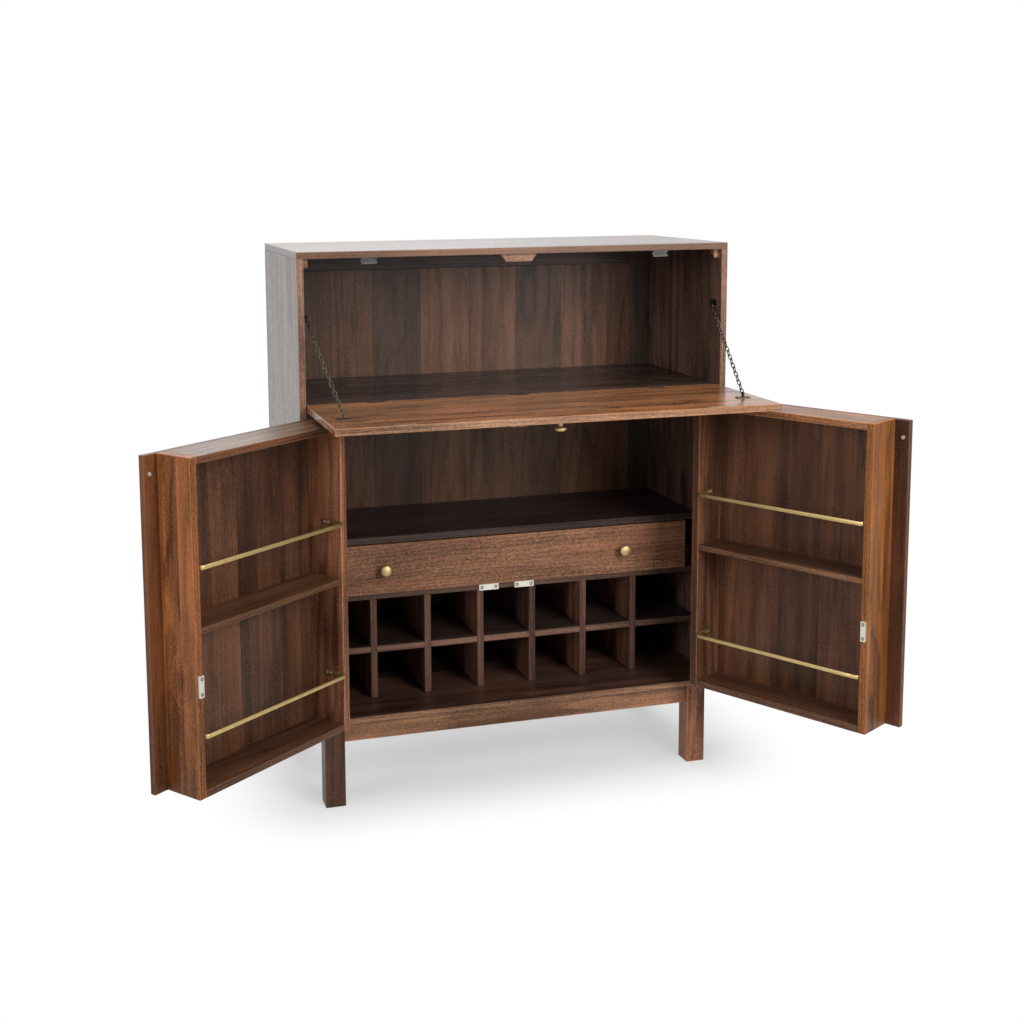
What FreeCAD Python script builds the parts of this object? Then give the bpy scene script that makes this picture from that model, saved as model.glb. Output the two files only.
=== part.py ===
"""Bar armoire with a drop flap, two bottle doors, a drawer and a bottle rack.

Millimetres. +Z is up and the armoire faces -Y. The origin lies on the floor under the middle of
the case. The flap is modelled open and level, and the doors at the angles they stand at at rest.
"""
import FreeCAD, Part
import Sketcher
import math
import os
import re

# Driving sizes: name, value, meaning.
SIZES = [
    ("case_width", 1016, "outer width of the case"),
    ("case_depth", 440, "outer depth of the case"),
    ("case_height", 1257, "floor to the upper face of the top"),
    ("board", 15, "thickness of the carcass boards"),
    ("arris", 1, "eased edge of every board"),
    ("case_lift", 190, "floor to the underside of the case"),
    ("bay_height", 923, "floor to the serving surface"),
    ("back_inset", 10, "rear edge of the sides to the back frame"),
    ("frame_thick", 20, "thickness of the back stiles and rails"),
    ("stile_width", 55, "width of a back stile"),
    ("rail_height", 55, "height of a back rail"),
    ("back_panel_thick", 9, "thickness of the back panel"),
    ("panel_reveal", 3, "face of the back frame to the face of its panel"),
    ("groove_depth", 8, "depth of the panel groove in the back frame"),
    ("joint_gap", 0.2, "play in a wood joint"),
    ("leg_size", 46, "side of a square leg"),
    ("leg_side_inset", 41, "side of the case to the leg"),
    ("apron_height", 42, "height of the aprons"),
    ("apron_thick", 20, "thickness of the aprons"),
    ("apron_setback", 10, "face of a leg to the face of an apron"),
    ("box_clearance", 3, "closed door rail to the front of the rack"),
    ("drawer_shelf_height", 590, "floor to the upper face of the shelf above the drawer"),
    ("drawer_shelf_thick", 16, "thickness of that shelf"),
    ("rack_top_thick", 12, "thickness of the shelf under the drawer"),
    ("rack_shelf_height", 329, "floor to the upper face of the middle rack shelf"),
    ("rack_shelf_thick", 15, "thickness of the middle rack shelf"),
    ("divider_thick", 16, "thickness of a rack divider"),
    ("divider_pitch", 130, "centre distance of the dividers"),
    ("drawer_front_height", 116.5, "height of the drawer front"),
    ("drawer_front_thick", 18, "thickness of the drawer front"),
    ("drawer_top_gap", 3.2, "gap above the drawer front"),
    ("drawer_run_gap", 0.3, "gap under the drawer"),
    ("drawer_end_gap", 29, "end of the drawer front to the case side"),
    ("drawer_rear_gap", 12, "back of the drawer to the back frame"),
    ("drawer_wall", 12, "thickness of the drawer sides and back"),
    ("drawer_wall_drop", 14, "top of the drawer front to the top of its sides"),
    ("drawer_wall_inset", 3, "end of the drawer front to the drawer side"),
    ("drawer_bottom_thick", 6, "thickness of the drawer bottom"),
    ("drawer_bottom_rise", 8, "lower edge of the sides to the drawer bottom"),
    ("drawer_groove", 5, "depth of the drawer bottom groove"),
    ("guide_height", 40, "height of a drawer guide"),
    ("guide_setback", 34, "front of the rack to the front of a guide"),
    ("guide_gap", 0.5, "side play of the drawer between its guides"),
    ("knob_radius", 14, "radius of a knob head"),
    ("knob_head", 11, "thickness of a knob head"),
    ("knob_bevel", 2, "bevel of a knob head"),
    ("knob_neck", 6, "radius of a knob neck"),
    ("knob_length", 26, "projection of a knob"),
    ("drawer_knob_inset", 166, "end of the drawer front to the knob"),
    ("flap_knob_inset", 48, "free edge of the flap to its knob"),
    ("flap_thick", 15, "thickness of the flap"),
    ("flap_side_gap", 1.5, "side of the flap to the case side"),
    ("flap_top_gap", 3, "closed flap to the underside of the top"),
    ("flap_joint_gap", 1, "gap between the flap and the bay floor"),
    ("flap_hinge_inset", 155.5, "side of the flap to the middle of an outer hinge"),
    ("flap_hinge_length", 40, "length of a flap hinge"),
    ("flap_leaf_width", 13, "hinge axis to the edge of a flap hinge leaf"),
    ("flap_knuckle", 2.6, "radius of a flap hinge knuckle"),
    ("flap_pin", 1.3, "radius of a flap hinge pin"),
    ("leaf_thick", 1.6, "thickness of a hinge leaf"),
    ("pin_clearance", 0.05, "radial play of a hinge pin"),
    ("knuckle_gap", 0.4, "gap between knuckles"),
    ("mortise_gap", 0.3, "play around a sunk fitting"),
    ("left_door_angle", 142, "opening of the left door at rest"),
    ("right_door_angle", 119.5, "opening of the right door at rest"),
    ("door_side_gap", 5, "door to the case side, where the hinge leaves lie"),
    ("door_meeting_gap", 3, "gap between the closed doors"),
    ("door_top_gap", 11.5, "door to the underside of the open flap"),
    ("door_bottom_gap", 14, "door to the bottom panel"),
    ("door_panel_thick", 13, "thickness of a door panel"),
    ("door_overhang", 33.5, "free edge of a door panel to its bottle box"),
    ("box_depth", 90, "depth of a bottle box"),
    ("box_side_thick", 18, "thickness of the upright boards of a bottle box"),
    ("box_end_thick", 15, "thickness of the top and bottom boards of a bottle box"),
    ("door_shelf_height", 560.5, "floor to the upper face of a door shelf"),
    ("door_shelf_thick", 12, "thickness of a door shelf"),
    ("upper_rail_rise", 120, "door shelf to the middle of the gallery rail above it"),
    ("lower_rail_rise", 110, "bottom of a bottle box to the middle of the gallery rail above it"),
    ("rail_strip", 9, "height of the gallery rail strip"),
    ("rail_thick", 2.5, "thickness of the gallery rail strip"),
    ("rail_leg", 58, "length of a gallery rail end"),
    ("rail_foot", 15, "height of a gallery rail end where it is screwed on"),
    ("rail_proud", 7, "front of the bottle box to the front of a rail"),
    ("door_hinge_length", 60, "length of a door hinge"),
    ("door_hinge_inset", 80, "end of a door to its nearest hinge"),
    ("door_leaf_width", 26, "hinge axis to the edge of a door hinge leaf"),
    ("door_knuckle", 3.2, "radius of a door hinge knuckle"),
    ("door_pin", 1.6, "radius of a door hinge pin"),
    ("knuckle_face_gap", 0.3, "door knuckle to the front of the case"),
    ("bumper_radius", 4, "radius of a door bumper"),
    ("bumper_thick", 2.5, "thickness of a door bumper"),
    ("bumper_inset", 14, "free edge of a door to its bumper"),
    ("bumper_drop", 38, "top of a door to its bumper"),
    ("catch_height", 44, "height of a door catch"),
    ("catch_width", 11, "width of a door catch"),
    ("catch_thick", 6.5, "thickness of a door catch"),
    ("catch_gap", 1.5, "closed catch to its strike plate"),
    ("strike_length", 48, "length of a strike plate"),
    ("strike_height", 14, "width of a strike plate"),
    ("strike_thick", 2, "thickness of a strike plate"),
    ("flap_catch_inset", 146.5, "side of the flap to the middle of a catch"),
    ("flap_catch_length", 36, "length of a flap catch"),
    ("flap_catch_height", 15, "height of a flap catch"),
    ("flap_catch_depth", 13, "depth of a flap catch"),
    ("flap_catch_jaw", 5, "height of the jaw slot of a flap catch"),
    ("flap_stop_gap", 0.6, "closed flap to its stops"),
    ("stop_width", 86, "upper width of the middle stop block"),
    ("stop_taper", 13, "slope of each end of the middle stop block"),
    ("stop_height", 18, "height of the middle stop block"),
    ("stop_depth", 22, "depth of the middle stop block"),
    ("side_stop_depth", 34, "depth of a side stop"),
    ("side_stop_height", 20, "height of a side stop"),
    ("side_stop_thick", 12, "thickness of a side stop"),
    ("door_stop_width", 38, "width of the door stop block"),
    ("door_stop_depth", 24, "depth of the door stop block"),
    ("door_stop_height", 62, "height of the door stop block"),
    ("door_stop_gap", 0.3, "closed bumper to the door stop block"),
    ("anchor_back", 37, "front of the case to the chain anchor on a side"),
    ("anchor_height_share", 0.6, "height of the chain anchor on a side, as a share of the bay"),
    ("anchor_length", 30, "length of a chain plate"),
    ("anchor_width", 14, "width of a chain plate"),
    ("anchor_thick", 2, "thickness of a chain plate"),
    ("lug_reach", 11, "plate face to the end of its lug"),
    ("lug_width", 10, "width of a lug"),
    ("lug_thick", 2.5, "thickness of a lug"),
    ("lug_hole", 3, "radius of the hole in a lug"),
    ("lug_hole_reach", 6, "plate face to the hole in its lug"),
    ("flap_anchor_side", 40, "side of the flap to its chain anchor"),
    ("flap_anchor_share", 0.668, "flap hinge axis to its chain anchor, as a share of the flap"),
    ("wire", 2.4, "wire of the chain links"),
    ("link_width", 4.6, "inner width of a chain link"),
    ("link_gap", 0.15, "play between two chain links"),
    ("link_seat", 0.9, "middle of a lug hole to the end link in it"),
]

# Sizes that follow from the driving ones: name, formula.
PLACES = [
    ("half", "case_width / 2"),
    ("inner", "half - board"),
    ("front", "-case_depth / 2"),
    ("rear", "case_depth / 2"),
    ("under_top", "case_height - board"),
    ("floor_top", "case_lift + board"),
    ("frame_rear", "rear - back_inset"),
    ("frame_front", "frame_rear - frame_thick"),
    ("panel_front", "frame_front + panel_reveal"),
    ("panel_rear", "panel_front + back_panel_thick"),
    ("stile_inner", "inner - stile_width"),
    ("top_rail_low", "under_top - rail_height"),
    ("bottom_rail_high", "floor_top + rail_height"),
    ("leg_outer", "half - leg_side_inset"),
    ("leg_inner", "leg_outer - leg_size"),
    ("apron_low", "case_lift - apron_height"),
    ("rack_front", "front + door_panel_thick + box_depth + rail_proud + box_clearance"),
    ("rack_middle", "(rack_front + frame_front) / 2"),
    ("drawer_shelf_low", "drawer_shelf_height - drawer_shelf_thick"),
    ("drawer_high", "drawer_shelf_low - drawer_top_gap"),
    ("drawer_low", "drawer_high - drawer_front_height"),
    ("rack_top_high", "drawer_low - drawer_run_gap"),
    ("rack_top_low", "rack_top_high - rack_top_thick"),
    ("rack_shelf_low", "rack_shelf_height - rack_shelf_thick"),
    ("drawer_half", "inner - drawer_end_gap"),
    ("drawer_face_back", "rack_front + drawer_front_thick"),
    ("drawer_rear", "frame_front - drawer_rear_gap"),
    ("drawer_side_outer", "drawer_half - drawer_wall_inset"),
    ("drawer_side_inner", "drawer_side_outer - drawer_wall"),
    ("drawer_side_high", "drawer_high - drawer_wall_drop"),
    ("drawer_floor_low", "drawer_low + drawer_bottom_rise"),
    ("drawer_floor_high", "drawer_floor_low + drawer_bottom_thick"),
    ("drawer_middle", "(drawer_low + drawer_high) / 2"),
    ("drawer_knob_side", "drawer_half - drawer_knob_inset"),
    ("flap_axis", "front + flap_thick"),
    ("flap_half", "inner - flap_side_gap"),
    ("flap_hinge_side", "flap_half - flap_hinge_inset"),
    ("flap_catch_side", "flap_half - flap_catch_inset"),
    ("flap_low", "bay_height - flap_thick"),
    ("flap_back", "flap_axis - flap_joint_gap / 2"),
    ("flap_edge", "flap_axis - under_top + flap_top_gap + bay_height"),
    ("bay_floor_front", "flap_axis + flap_joint_gap / 2"),
    ("bay_floor_low", "bay_height - board"),
    ("door_axis_side", "inner - door_side_gap / 2"),
    ("door_face", "door_knuckle + knuckle_face_gap"),
    ("door_axis", "front - door_face"),
    ("door_back", "door_face + door_panel_thick"),
    ("box_face", "door_back + box_depth"),
    ("door_start", "door_side_gap / 2"),
    ("door_end", "door_axis_side - door_meeting_gap / 2"),
    ("latch_outer", "door_end - door_overhang"),
    ("latch_inner", "latch_outer - box_side_thick"),
    ("hinge_inner", "door_start + box_side_thick"),
    ("door_low", "floor_top + door_bottom_gap"),
    ("door_high", "flap_low - door_top_gap"),
    ("box_floor", "door_low + box_end_thick"),
    ("box_roof", "door_high - box_end_thick"),
    ("door_shelf_low", "door_shelf_height - door_shelf_thick"),
    ("rail_face", "box_face + rail_proud"),
    ("stop_front", "flap_axis + flap_stop_gap"),
    ("door_stop_front", "front + door_panel_thick + bumper_thick + door_stop_gap"),
    ("strike_middle", "rack_top_high - rack_top_thick / 2"),
    ("strike_front", "rack_front - strike_thick"),
    ("strike_side", "door_axis_side - latch_outer + box_side_thick / 2"),
    ("catch_face", "strike_front - catch_gap - door_axis"),
    ("anchor_y", "front + anchor_back"),
    ("wall_hole_side", "inner - anchor_thick - lug_hole_reach"),
    ("anchor_height", "bay_height + anchor_height_share * (under_top - bay_height)"),
    ("flap_anchor_y", "flap_axis - flap_anchor_share * (flap_axis - flap_edge)"),
    ("flap_anchor_x", "flap_half - flap_anchor_side"),
    ("flap_hole_height", "bay_height + anchor_thick + lug_hole_reach"),
    ("chain_slope", "atan2(anchor_height - flap_hole_height; anchor_y - flap_anchor_y)"),
]

DIVIDERS = 6
LINKS = 22
BENDS = 8
FLATS = 4
SIDES = (("left", 1), ("right", -1))
WORD = re.compile(r"[a-z][a-z_]*(?![a-z_0-9(])")

document = FreeCAD.newDocument("bar_armoire")
sizes = document.addObject("Spreadsheet::Sheet", "sizes")
for row, (alias, value, meaning) in enumerate(SIZES, 1):
    sizes.set(f"A{row}", meaning)
    sizes.set(f"B{row}", str(value))
    sizes.setAlias(f"B{row}", alias)
driving = {alias for alias, value, meaning in SIZES}
places = document.addObject("Spreadsheet::Sheet", "places")
for row, (alias, formula) in enumerate(PLACES, 1):
    linked = WORD.sub(lambda m: f"sizes.{m[0]}" if m[0] in driving else m[0], formula)
    places.set(f"A{row}", f"={linked}")
    places.setAlias(f"A{row}", alias)
document.recompute()


def linked(formula):
    """Returns a formula with each name led to its sheet."""
    return WORD.sub(lambda m: f"sizes.{m[0]}" if m[0] in driving else f"places.{m[0]}", str(formula))


def bind(thing, **formulas):
    """Binds properties of an object to formulas over the sheets."""
    for name, formula in formulas.items():
        thing.setExpression(name, linked(formula))


def settle(thing, x="0", y="0", z="0"):
    """Binds the position of an object."""
    for axis, formula in zip("xyz", (x, y, z)):
        thing.setExpression(f"Placement.Base.{axis}", linked(formula))


def size_box(box, low, high):
    """Sets a box between two corners."""
    length, width, height = (f"({b}) - ({a})" for a, b in zip(low, high))
    bind(box, Length=length, Width=width, Height=height)
    settle(box, *low)


def board(name, low, high):
    """A board between two corners with every edge eased."""
    body = document.addObject("PartDesign::Body", name)
    blank = body.newObject("PartDesign::AdditiveBox", f"{name}_blank")
    size_box(blank, low, high)
    document.recompute()
    ease = body.newObject("PartDesign::Chamfer", f"{name}_eased")
    ease.Base = (blank, [""])
    ease.UseAllEdges = True
    bind(ease, Size="arris")
    return body


def recess(body, low, high):
    """Cuts a box between two corners out of a board."""
    cut = body.newObject("PartDesign::SubtractiveBox", f"{body.Name}_recess")
    size_box(cut, low, high)


def block(name, low, high):
    """A plain box between two corners."""
    box = document.addObject("Part::Box", name)
    size_box(box, low, high)
    return box


def cylinder(name, radius, length, x, y, z, axis=(0, 0, 1)):
    """A cylinder that starts at a point and runs along an axis."""
    rod = document.addObject("Part::Cylinder", name)
    bind(rod, Radius=radius, Height=length)
    rod.Placement.Rotation = FreeCAD.Rotation(FreeCAD.Vector(0, 0, 1), FreeCAD.Vector(*axis))
    settle(rod, x, y, z)
    return rod


def joined(name, pieces):
    """One solid made of pieces that grow into each other."""
    whole = document.addObject("Part::MultiFuse", name)
    whole.Shapes = pieces
    whole.Refine = True
    return whole


def bored(name, piece, tool):
    """A piece with a tool cut out of it."""
    rest = document.addObject("Part::Cut", name)
    rest.Base = piece
    rest.Tool = tool
    rest.Refine = True
    return rest


def prism(name, points, depth, turn):
    """A block with a polygon section: the corners are bound, and the section is pushed through a depth."""
    body = document.addObject("PartDesign::Body", name)
    sketch = body.newObject("Sketcher::SketchObject", f"{name}_section")
    draw(sketch, points)
    pad = body.newObject("PartDesign::Pad", f"{name}_length")
    pad.Profile = sketch
    bind(pad, Length=depth)
    body.Placement.Rotation = turn
    return body


def draw(sketch, points):
    """Draws a closed polygon as a ring and binds both coordinates of each corner."""
    count = len(points)
    spoke = FreeCAD.Vector(sizes.knob_radius, 0, 0)
    upright = FreeCAD.Vector(0, 0, 1)
    guess = [FreeCAD.Rotation(upright, 360 * i / count).multVec(spoke) for i in range(count)]
    for i in range(count):
        sketch.addGeometry(Part.LineSegment(guess[i], guess[(i + 1) % count]), False)
    for i in range(count):
        sketch.addConstraint(Sketcher.Constraint("Coincident", i, 2, (i + 1) % count, 1))
    for i, point in enumerate(points):
        for kind, formula in zip(("DistanceX", "DistanceY"), point):
            number = sketch.addConstraint(Sketcher.Constraint(kind, -1, 1, i, 1, 1.0))
            sketch.setExpression(f"Constraints[{number}]", linked(formula))


def group(name, pieces):
    """A node that holds several separate solids."""
    whole = document.addObject("Part::Compound", name)
    whole.Links = pieces
    return whole


def stand(pieces, side, sign):
    """Turns the pieces of a door about its hinge axis to the angle it rests at."""
    for piece in pieces:
        piece.Placement.Rotation = FreeCAD.Rotation(FreeCAD.Vector(0, 0, 1), -sign)
        bind(piece, **{"Placement.Rotation.Angle": f"{-sign} * {side}_door_angle"})
        settle(piece, f"{-sign} * door_axis_side", "door_axis")


def across(sign, a, b):
    """The x range from a to b, measured from the hinge side of a door."""
    return (a, b) if sign > 0 else (f"-({b})", f"-({a})")


def flank(sign, a, b):
    """The x range from a to b on the left, measured outwards from the middle, or on the right."""
    return (f"-({b})", f"-({a})") if sign > 0 else (a, b)


nodes = {}

# Carcass.
nodes["top_panel"] = board("top_panel", ("-half", "front", "under_top"), ("half", "rear", "case_height"))
for side, sign in SIDES:
    x0, x1 = flank(sign, "inner", "half")
    name = f"{side}_side_panel"
    nodes[name] = board(name, (x0, "front", "case_lift"), (x1, "rear", "under_top"))
bay = board(
    "bay_floor", ("-inner", "bay_floor_front", "bay_floor_low"), ("inner", "frame_front", "bay_height")
)
nodes["bay_floor"] = bay
nodes["bottom_panel"] = board(
    "bottom_panel", ("-inner", "front", "case_lift"), ("inner", "frame_rear", "floor_top")
)

# Back: a grooved frame that holds one loose panel.
GROOVE_LOW = "panel_front - joint_gap"
GROOVE_HIGH = "panel_rear + joint_gap"
stiles = []
for side, sign in SIDES:
    x0, x1 = flank(sign, "stile_inner", "inner")
    stile = board(f"back_{side}_stile", (x0, "frame_front", "floor_top"), (x1, "frame_rear", "under_top"))
    x0, x1 = flank(sign, "stile_inner - arris", "stile_inner + groove_depth")
    recess(stile, (x0, GROOVE_LOW, "floor_top - arris"), (x1, GROOVE_HIGH, "under_top + arris"))
    stiles.append(stile)
nodes["back_stiles"] = group("back_stiles", stiles)
rails = []
for name, low, high, groove in (
    ("top", "top_rail_low", "under_top", ("top_rail_low - arris", "top_rail_low + groove_depth")),
    (
        "bottom",
        "floor_top",
        "bottom_rail_high",
        ("bottom_rail_high - groove_depth", "bottom_rail_high + arris"),
    ),
):
    rail = board(
        f"back_{name}_rail", ("-stile_inner", "frame_front", low), ("stile_inner", "frame_rear", high)
    )
    recess(
        rail,
        ("-stile_inner - arris", GROOVE_LOW, groove[0]),
        ("stile_inner + arris", GROOVE_HIGH, groove[1]),
    )
    rails.append(rail)
nodes["back_rails"] = group("back_rails", rails)
nodes["back_panel"] = board(
    "back_panel",
    ("-stile_inner - groove_depth + joint_gap", "panel_front", "bottom_rail_high - groove_depth + joint_gap"),
    ("stile_inner + groove_depth - joint_gap", "panel_rear", "top_rail_low + groove_depth - joint_gap"),
)

# Shelves and the halved bottle rack.
nodes["drawer_shelf"] = board(
    "drawer_shelf",
    ("-inner", "rack_front", "drawer_shelf_low"),
    ("inner", "frame_front", "drawer_shelf_height"),
)
nodes["rack_top_shelf"] = board(
    "rack_top_shelf", ("-inner", "rack_front", "rack_top_low"), ("inner", "frame_front", "rack_top_high")
)
middle = board(
    "rack_middle_shelf",
    ("-inner", "rack_front", "rack_shelf_low"),
    ("inner", "frame_front", "rack_shelf_height"),
)
nodes["rack_middle_shelf"] = middle
dividers = []
for number in range(DIVIDERS):
    centre = f"{number - (DIVIDERS - 1) / 2} * divider_pitch"
    low = f"{centre} - divider_thick / 2"
    high = f"{centre} + divider_thick / 2"
    recess(
        middle,
        (f"{low} - joint_gap", "rack_front - arris", "rack_shelf_low - arris"),
        (f"{high} + joint_gap", "rack_middle", "rack_shelf_height + arris"),
    )
    divider = board(
        f"rack_divider_{number + 1}", (low, "rack_front", "floor_top"), (high, "frame_front", "rack_top_low")
    )
    recess(
        divider,
        (f"{low} - arris", "rack_middle - joint_gap", "rack_shelf_low - joint_gap"),
        (f"{high} + arris", "frame_front + arris", "rack_shelf_height + joint_gap"),
    )
    dividers.append(divider)
nodes["rack_dividers"] = group("rack_dividers", dividers)

# Base.
for side, sign in SIDES:
    x0, x1 = flank(sign, "leg_inner", "leg_outer")
    for place, y0, y1 in (
        ("front", "front", "front + leg_size"),
        ("rear", "rear - leg_size", "rear"),
    ):
        name = f"{place}_{side}_leg"
        nodes[name] = board(name, (x0, y0, "0"), (x1, y1, "case_lift"))
for place, y0, y1 in (
    ("front", "front + apron_setback", "front + apron_setback + apron_thick"),
    ("rear", "rear - apron_setback - apron_thick", "rear - apron_setback"),
):
    name = f"{place}_apron"
    nodes[name] = board(name, ("-leg_inner", y0, "apron_low"), ("leg_inner", y1, "case_lift"))
side_aprons = []
for side, sign in SIDES:
    x0, x1 = flank(sign, "leg_outer - apron_setback - apron_thick", "leg_outer - apron_setback")
    side_aprons.append(
        board(
            f"{side}_apron",
            (x0, "front + leg_size", "apron_low"),
            (x1, "rear - leg_size", "case_lift"),
        )
    )
nodes["side_aprons"] = group("side_aprons", side_aprons)

# Drawer, its bottom held in grooves, and the guides beside it.
SLOT_LOW = "drawer_floor_low - joint_gap"
SLOT_HIGH = "drawer_floor_high + joint_gap"
SLOT_SIDE = "drawer_side_inner + drawer_groove"
drawer_front = board(
    "drawer_front",
    ("-drawer_half", "rack_front", "drawer_low"),
    ("drawer_half", "drawer_face_back", "drawer_high"),
)
recess(
    drawer_front,
    (f"-({SLOT_SIDE})", "drawer_face_back - drawer_groove", SLOT_LOW),
    (SLOT_SIDE, "drawer_face_back + arris", SLOT_HIGH),
)
nodes["drawer_front"] = drawer_front
drawer_sides = []
guides = []
for side, sign in SIDES:
    x0, x1 = flank(sign, "drawer_side_inner", "drawer_side_outer")
    wall = board(
        f"drawer_{side}_side", (x0, "drawer_face_back", "drawer_low"), (x1, "drawer_rear", "drawer_side_high")
    )
    x0, x1 = flank(sign, "drawer_side_inner - arris", SLOT_SIDE)
    recess(wall, (x0, "drawer_face_back - arris", SLOT_LOW), (x1, "drawer_rear - drawer_wall", SLOT_HIGH))
    drawer_sides.append(wall)
    x0, x1 = flank(sign, "drawer_side_outer + guide_gap", "inner")
    guides.append(
        board(
            f"drawer_{side}_guide",
            (x0, "rack_front + guide_setback", "rack_top_high"),
            (x1, "frame_front", "rack_top_high + guide_height"),
        )
    )
nodes["drawer_sides"] = group("drawer_sides", drawer_sides)
nodes["drawer_guides"] = group("drawer_guides", guides)
nodes["drawer_back"] = board(
    "drawer_back",
    ("-drawer_side_inner", "drawer_rear - drawer_wall", "drawer_low"),
    ("drawer_side_inner", "drawer_rear", "drawer_side_high"),
)
nodes["drawer_bottom"] = board(
    "drawer_bottom",
    (f"-({SLOT_SIDE}) + joint_gap", "drawer_face_back - drawer_groove + joint_gap", "drawer_floor_low"),
    (f"{SLOT_SIDE} - joint_gap", "drawer_rear - drawer_wall - joint_gap", "drawer_floor_high"),
)


def knob(name, x, y, z, turn):
    """A turned knob: its half section is bound point by point and revolved."""
    body = document.addObject("PartDesign::Body", name)
    sketch = body.newObject("Sketcher::SketchObject", f"{name}_section")
    draw(
        sketch,
        [
            ("0", "0"),
            ("knob_neck", "0"),
            ("knob_neck", "knob_length - knob_head"),
            ("knob_radius", "knob_length - knob_head"),
            ("knob_radius", "knob_length - knob_bevel"),
            ("knob_radius - knob_bevel", "knob_length"),
            ("0", "knob_length"),
        ],
    )
    turned = body.newObject("PartDesign::Revolution", f"{name}_turned")
    turned.Profile = sketch
    turned.ReferenceAxis = (sketch, ["V_Axis"])
    turned.Angle = 360
    body.Placement.Rotation = turn
    settle(body, x, y, z)
    return body


FORWARD = FreeCAD.Rotation(FreeCAD.Vector(0, 0, 1), 180)
DOWN = FreeCAD.Rotation(FreeCAD.Vector(1, 0, 0), -90)
nodes["drawer_knobs"] = group(
    "drawer_knobs",
    [
        knob(f"drawer_{side}_knob", f"{-sign} * drawer_knob_side", "rack_front", "drawer_middle", FORWARD)
        for side, sign in SIDES
    ],
)

# Flap.
flap = board("flap_panel", ("-flap_half", "flap_edge", "flap_low"), ("flap_half", "flap_back", "bay_height"))
nodes["flap_panel"] = flap
nodes["flap_knob"] = knob("flap_knob", "0", "flap_edge + flap_knob_inset", "flap_low", DOWN)

# Flap hinges: sunk leaves with three knuckles along X. The fixed leaf carries the pin.
fixed_leaves = []
moving_leaves = []
reach = "(flap_knuckle + mortise_gap)"
for number, place in enumerate(("-flap_hinge_side", "0", "flap_hinge_side"), 1):
    start = f"{place} - flap_hinge_length / 2"
    end = f"{place} + flap_hinge_length / 2"
    first_end = f"{place} - flap_hinge_length / 6 - knuckle_gap / 2"
    last_start = f"{place} + flap_hinge_length / 6 + knuckle_gap / 2"
    sunk = "bay_height - leaf_thick"
    pocket = (f"{start} - mortise_gap", f"{end} + mortise_gap")
    leaf_end = "(flap_leaf_width + mortise_gap)"
    for depth, bed in ((leaf_end, sunk), (reach, f"bay_height - {reach}")):
        recess(
            bay,
            (pocket[0], "bay_floor_front - arris", bed),
            (pocket[1], f"flap_axis + {depth}", "bay_height + arris"),
        )
        recess(
            flap,
            (pocket[0], f"flap_axis - {depth}", bed),
            (pocket[1], "flap_back + arris", "bay_height + arris"),
        )
    axis = ("flap_axis", "bay_height", (1, 0, 0))
    name = f"flap_hinge_{number}"
    fixed = [
        block(
            f"{name}_fixed_plate",
            (start, f"flap_axis + {reach}", sunk),
            (end, "flap_axis + flap_leaf_width", "bay_height"),
        ),
        cylinder(f"{name}_pin", "flap_pin", "flap_hinge_length", start, *axis),
    ]
    for low, high in ((start, first_end), (last_start, end)):
        neck_end = (high, f"flap_axis + {reach}", "bay_height")
        fixed.append(block(f"{name}_fixed_neck", (low, "flap_axis", sunk), neck_end))
        fixed.append(cylinder(f"{name}_fixed_knuckle", "flap_knuckle", f"({high}) - ({low})", low, *axis))
    fixed_leaves.append(joined(f"{name}_fixed_leaf", fixed))
    low = f"{first_end} + knuckle_gap"
    high = f"{last_start} - knuckle_gap"
    moving = [
        block(
            f"{name}_moving_plate",
            (start, "flap_axis - flap_leaf_width", sunk),
            (end, f"flap_axis - {reach}", "bay_height"),
        ),
        block(f"{name}_moving_neck", (low, f"flap_axis - {reach}", sunk), (high, "flap_axis", "bay_height")),
        cylinder(f"{name}_moving_knuckle", "flap_knuckle", f"({high}) - ({low})", low, *axis),
    ]
    bore = cylinder(f"{name}_bore", "flap_pin + pin_clearance", "flap_hinge_length", start, *axis)
    moving_leaves.append(bored(f"{name}_moving_leaf", joined(f"{name}_moving_blank", moving), bore))
nodes["flap_hinge_fixed_leaves"] = group("flap_hinge_fixed_leaves", fixed_leaves)
nodes["flap_hinge_moving_leaves"] = group("flap_hinge_moving_leaves", moving_leaves)

# Sunk strike plates on the flap, catches under the top, strike plates on the shelf under the drawer.
flap_strikes = []
flap_catches = []
door_strikes = []
for side, sign in SIDES:
    centre = f"{-sign} * flap_catch_side"
    low = f"{centre} - strike_length / 2"
    high = f"{centre} + strike_length / 2"
    y0 = "flap_edge + flap_catch_height / 2 - strike_height / 2 + strike_thick"
    y1 = f"{y0} + strike_height"
    recess(
        flap,
        (f"{low} - mortise_gap", f"{y0} - mortise_gap", "bay_height - strike_thick"),
        (f"{high} + mortise_gap", f"{y1} + mortise_gap", "bay_height + arris"),
    )
    flap_strikes.append(
        block(f"flap_{side}_strike", (low, y0, "bay_height - strike_thick"), (high, y1, "bay_height"))
    )
    low = f"{centre} - flap_catch_length / 2"
    high = f"{centre} + flap_catch_length / 2"
    case = block(
        f"flap_{side}_catch_blank",
        (low, "stop_front", "under_top - flap_catch_height"),
        (high, "stop_front + flap_catch_depth", "under_top"),
    )
    jaw = block(
        f"flap_{side}_catch_jaw",
        (low, "stop_front", "under_top - flap_catch_height / 2 - flap_catch_jaw / 2"),
        (high, "stop_front + flap_catch_depth / 2", "under_top - flap_catch_height / 2 + flap_catch_jaw / 2"),
    )
    flap_catches.append(bored(f"flap_{side}_catch", case, jaw))
    centre = f"{-sign} * strike_side"
    low = f"{centre} - strike_length / 2"
    high = f"{centre} + strike_length / 2"
    door_strikes.append(
        block(
            f"door_{side}_strike",
            (low, "strike_front", "strike_middle - strike_height / 2"),
            (high, "rack_front", "strike_middle + strike_height / 2"),
        )
    )
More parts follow.
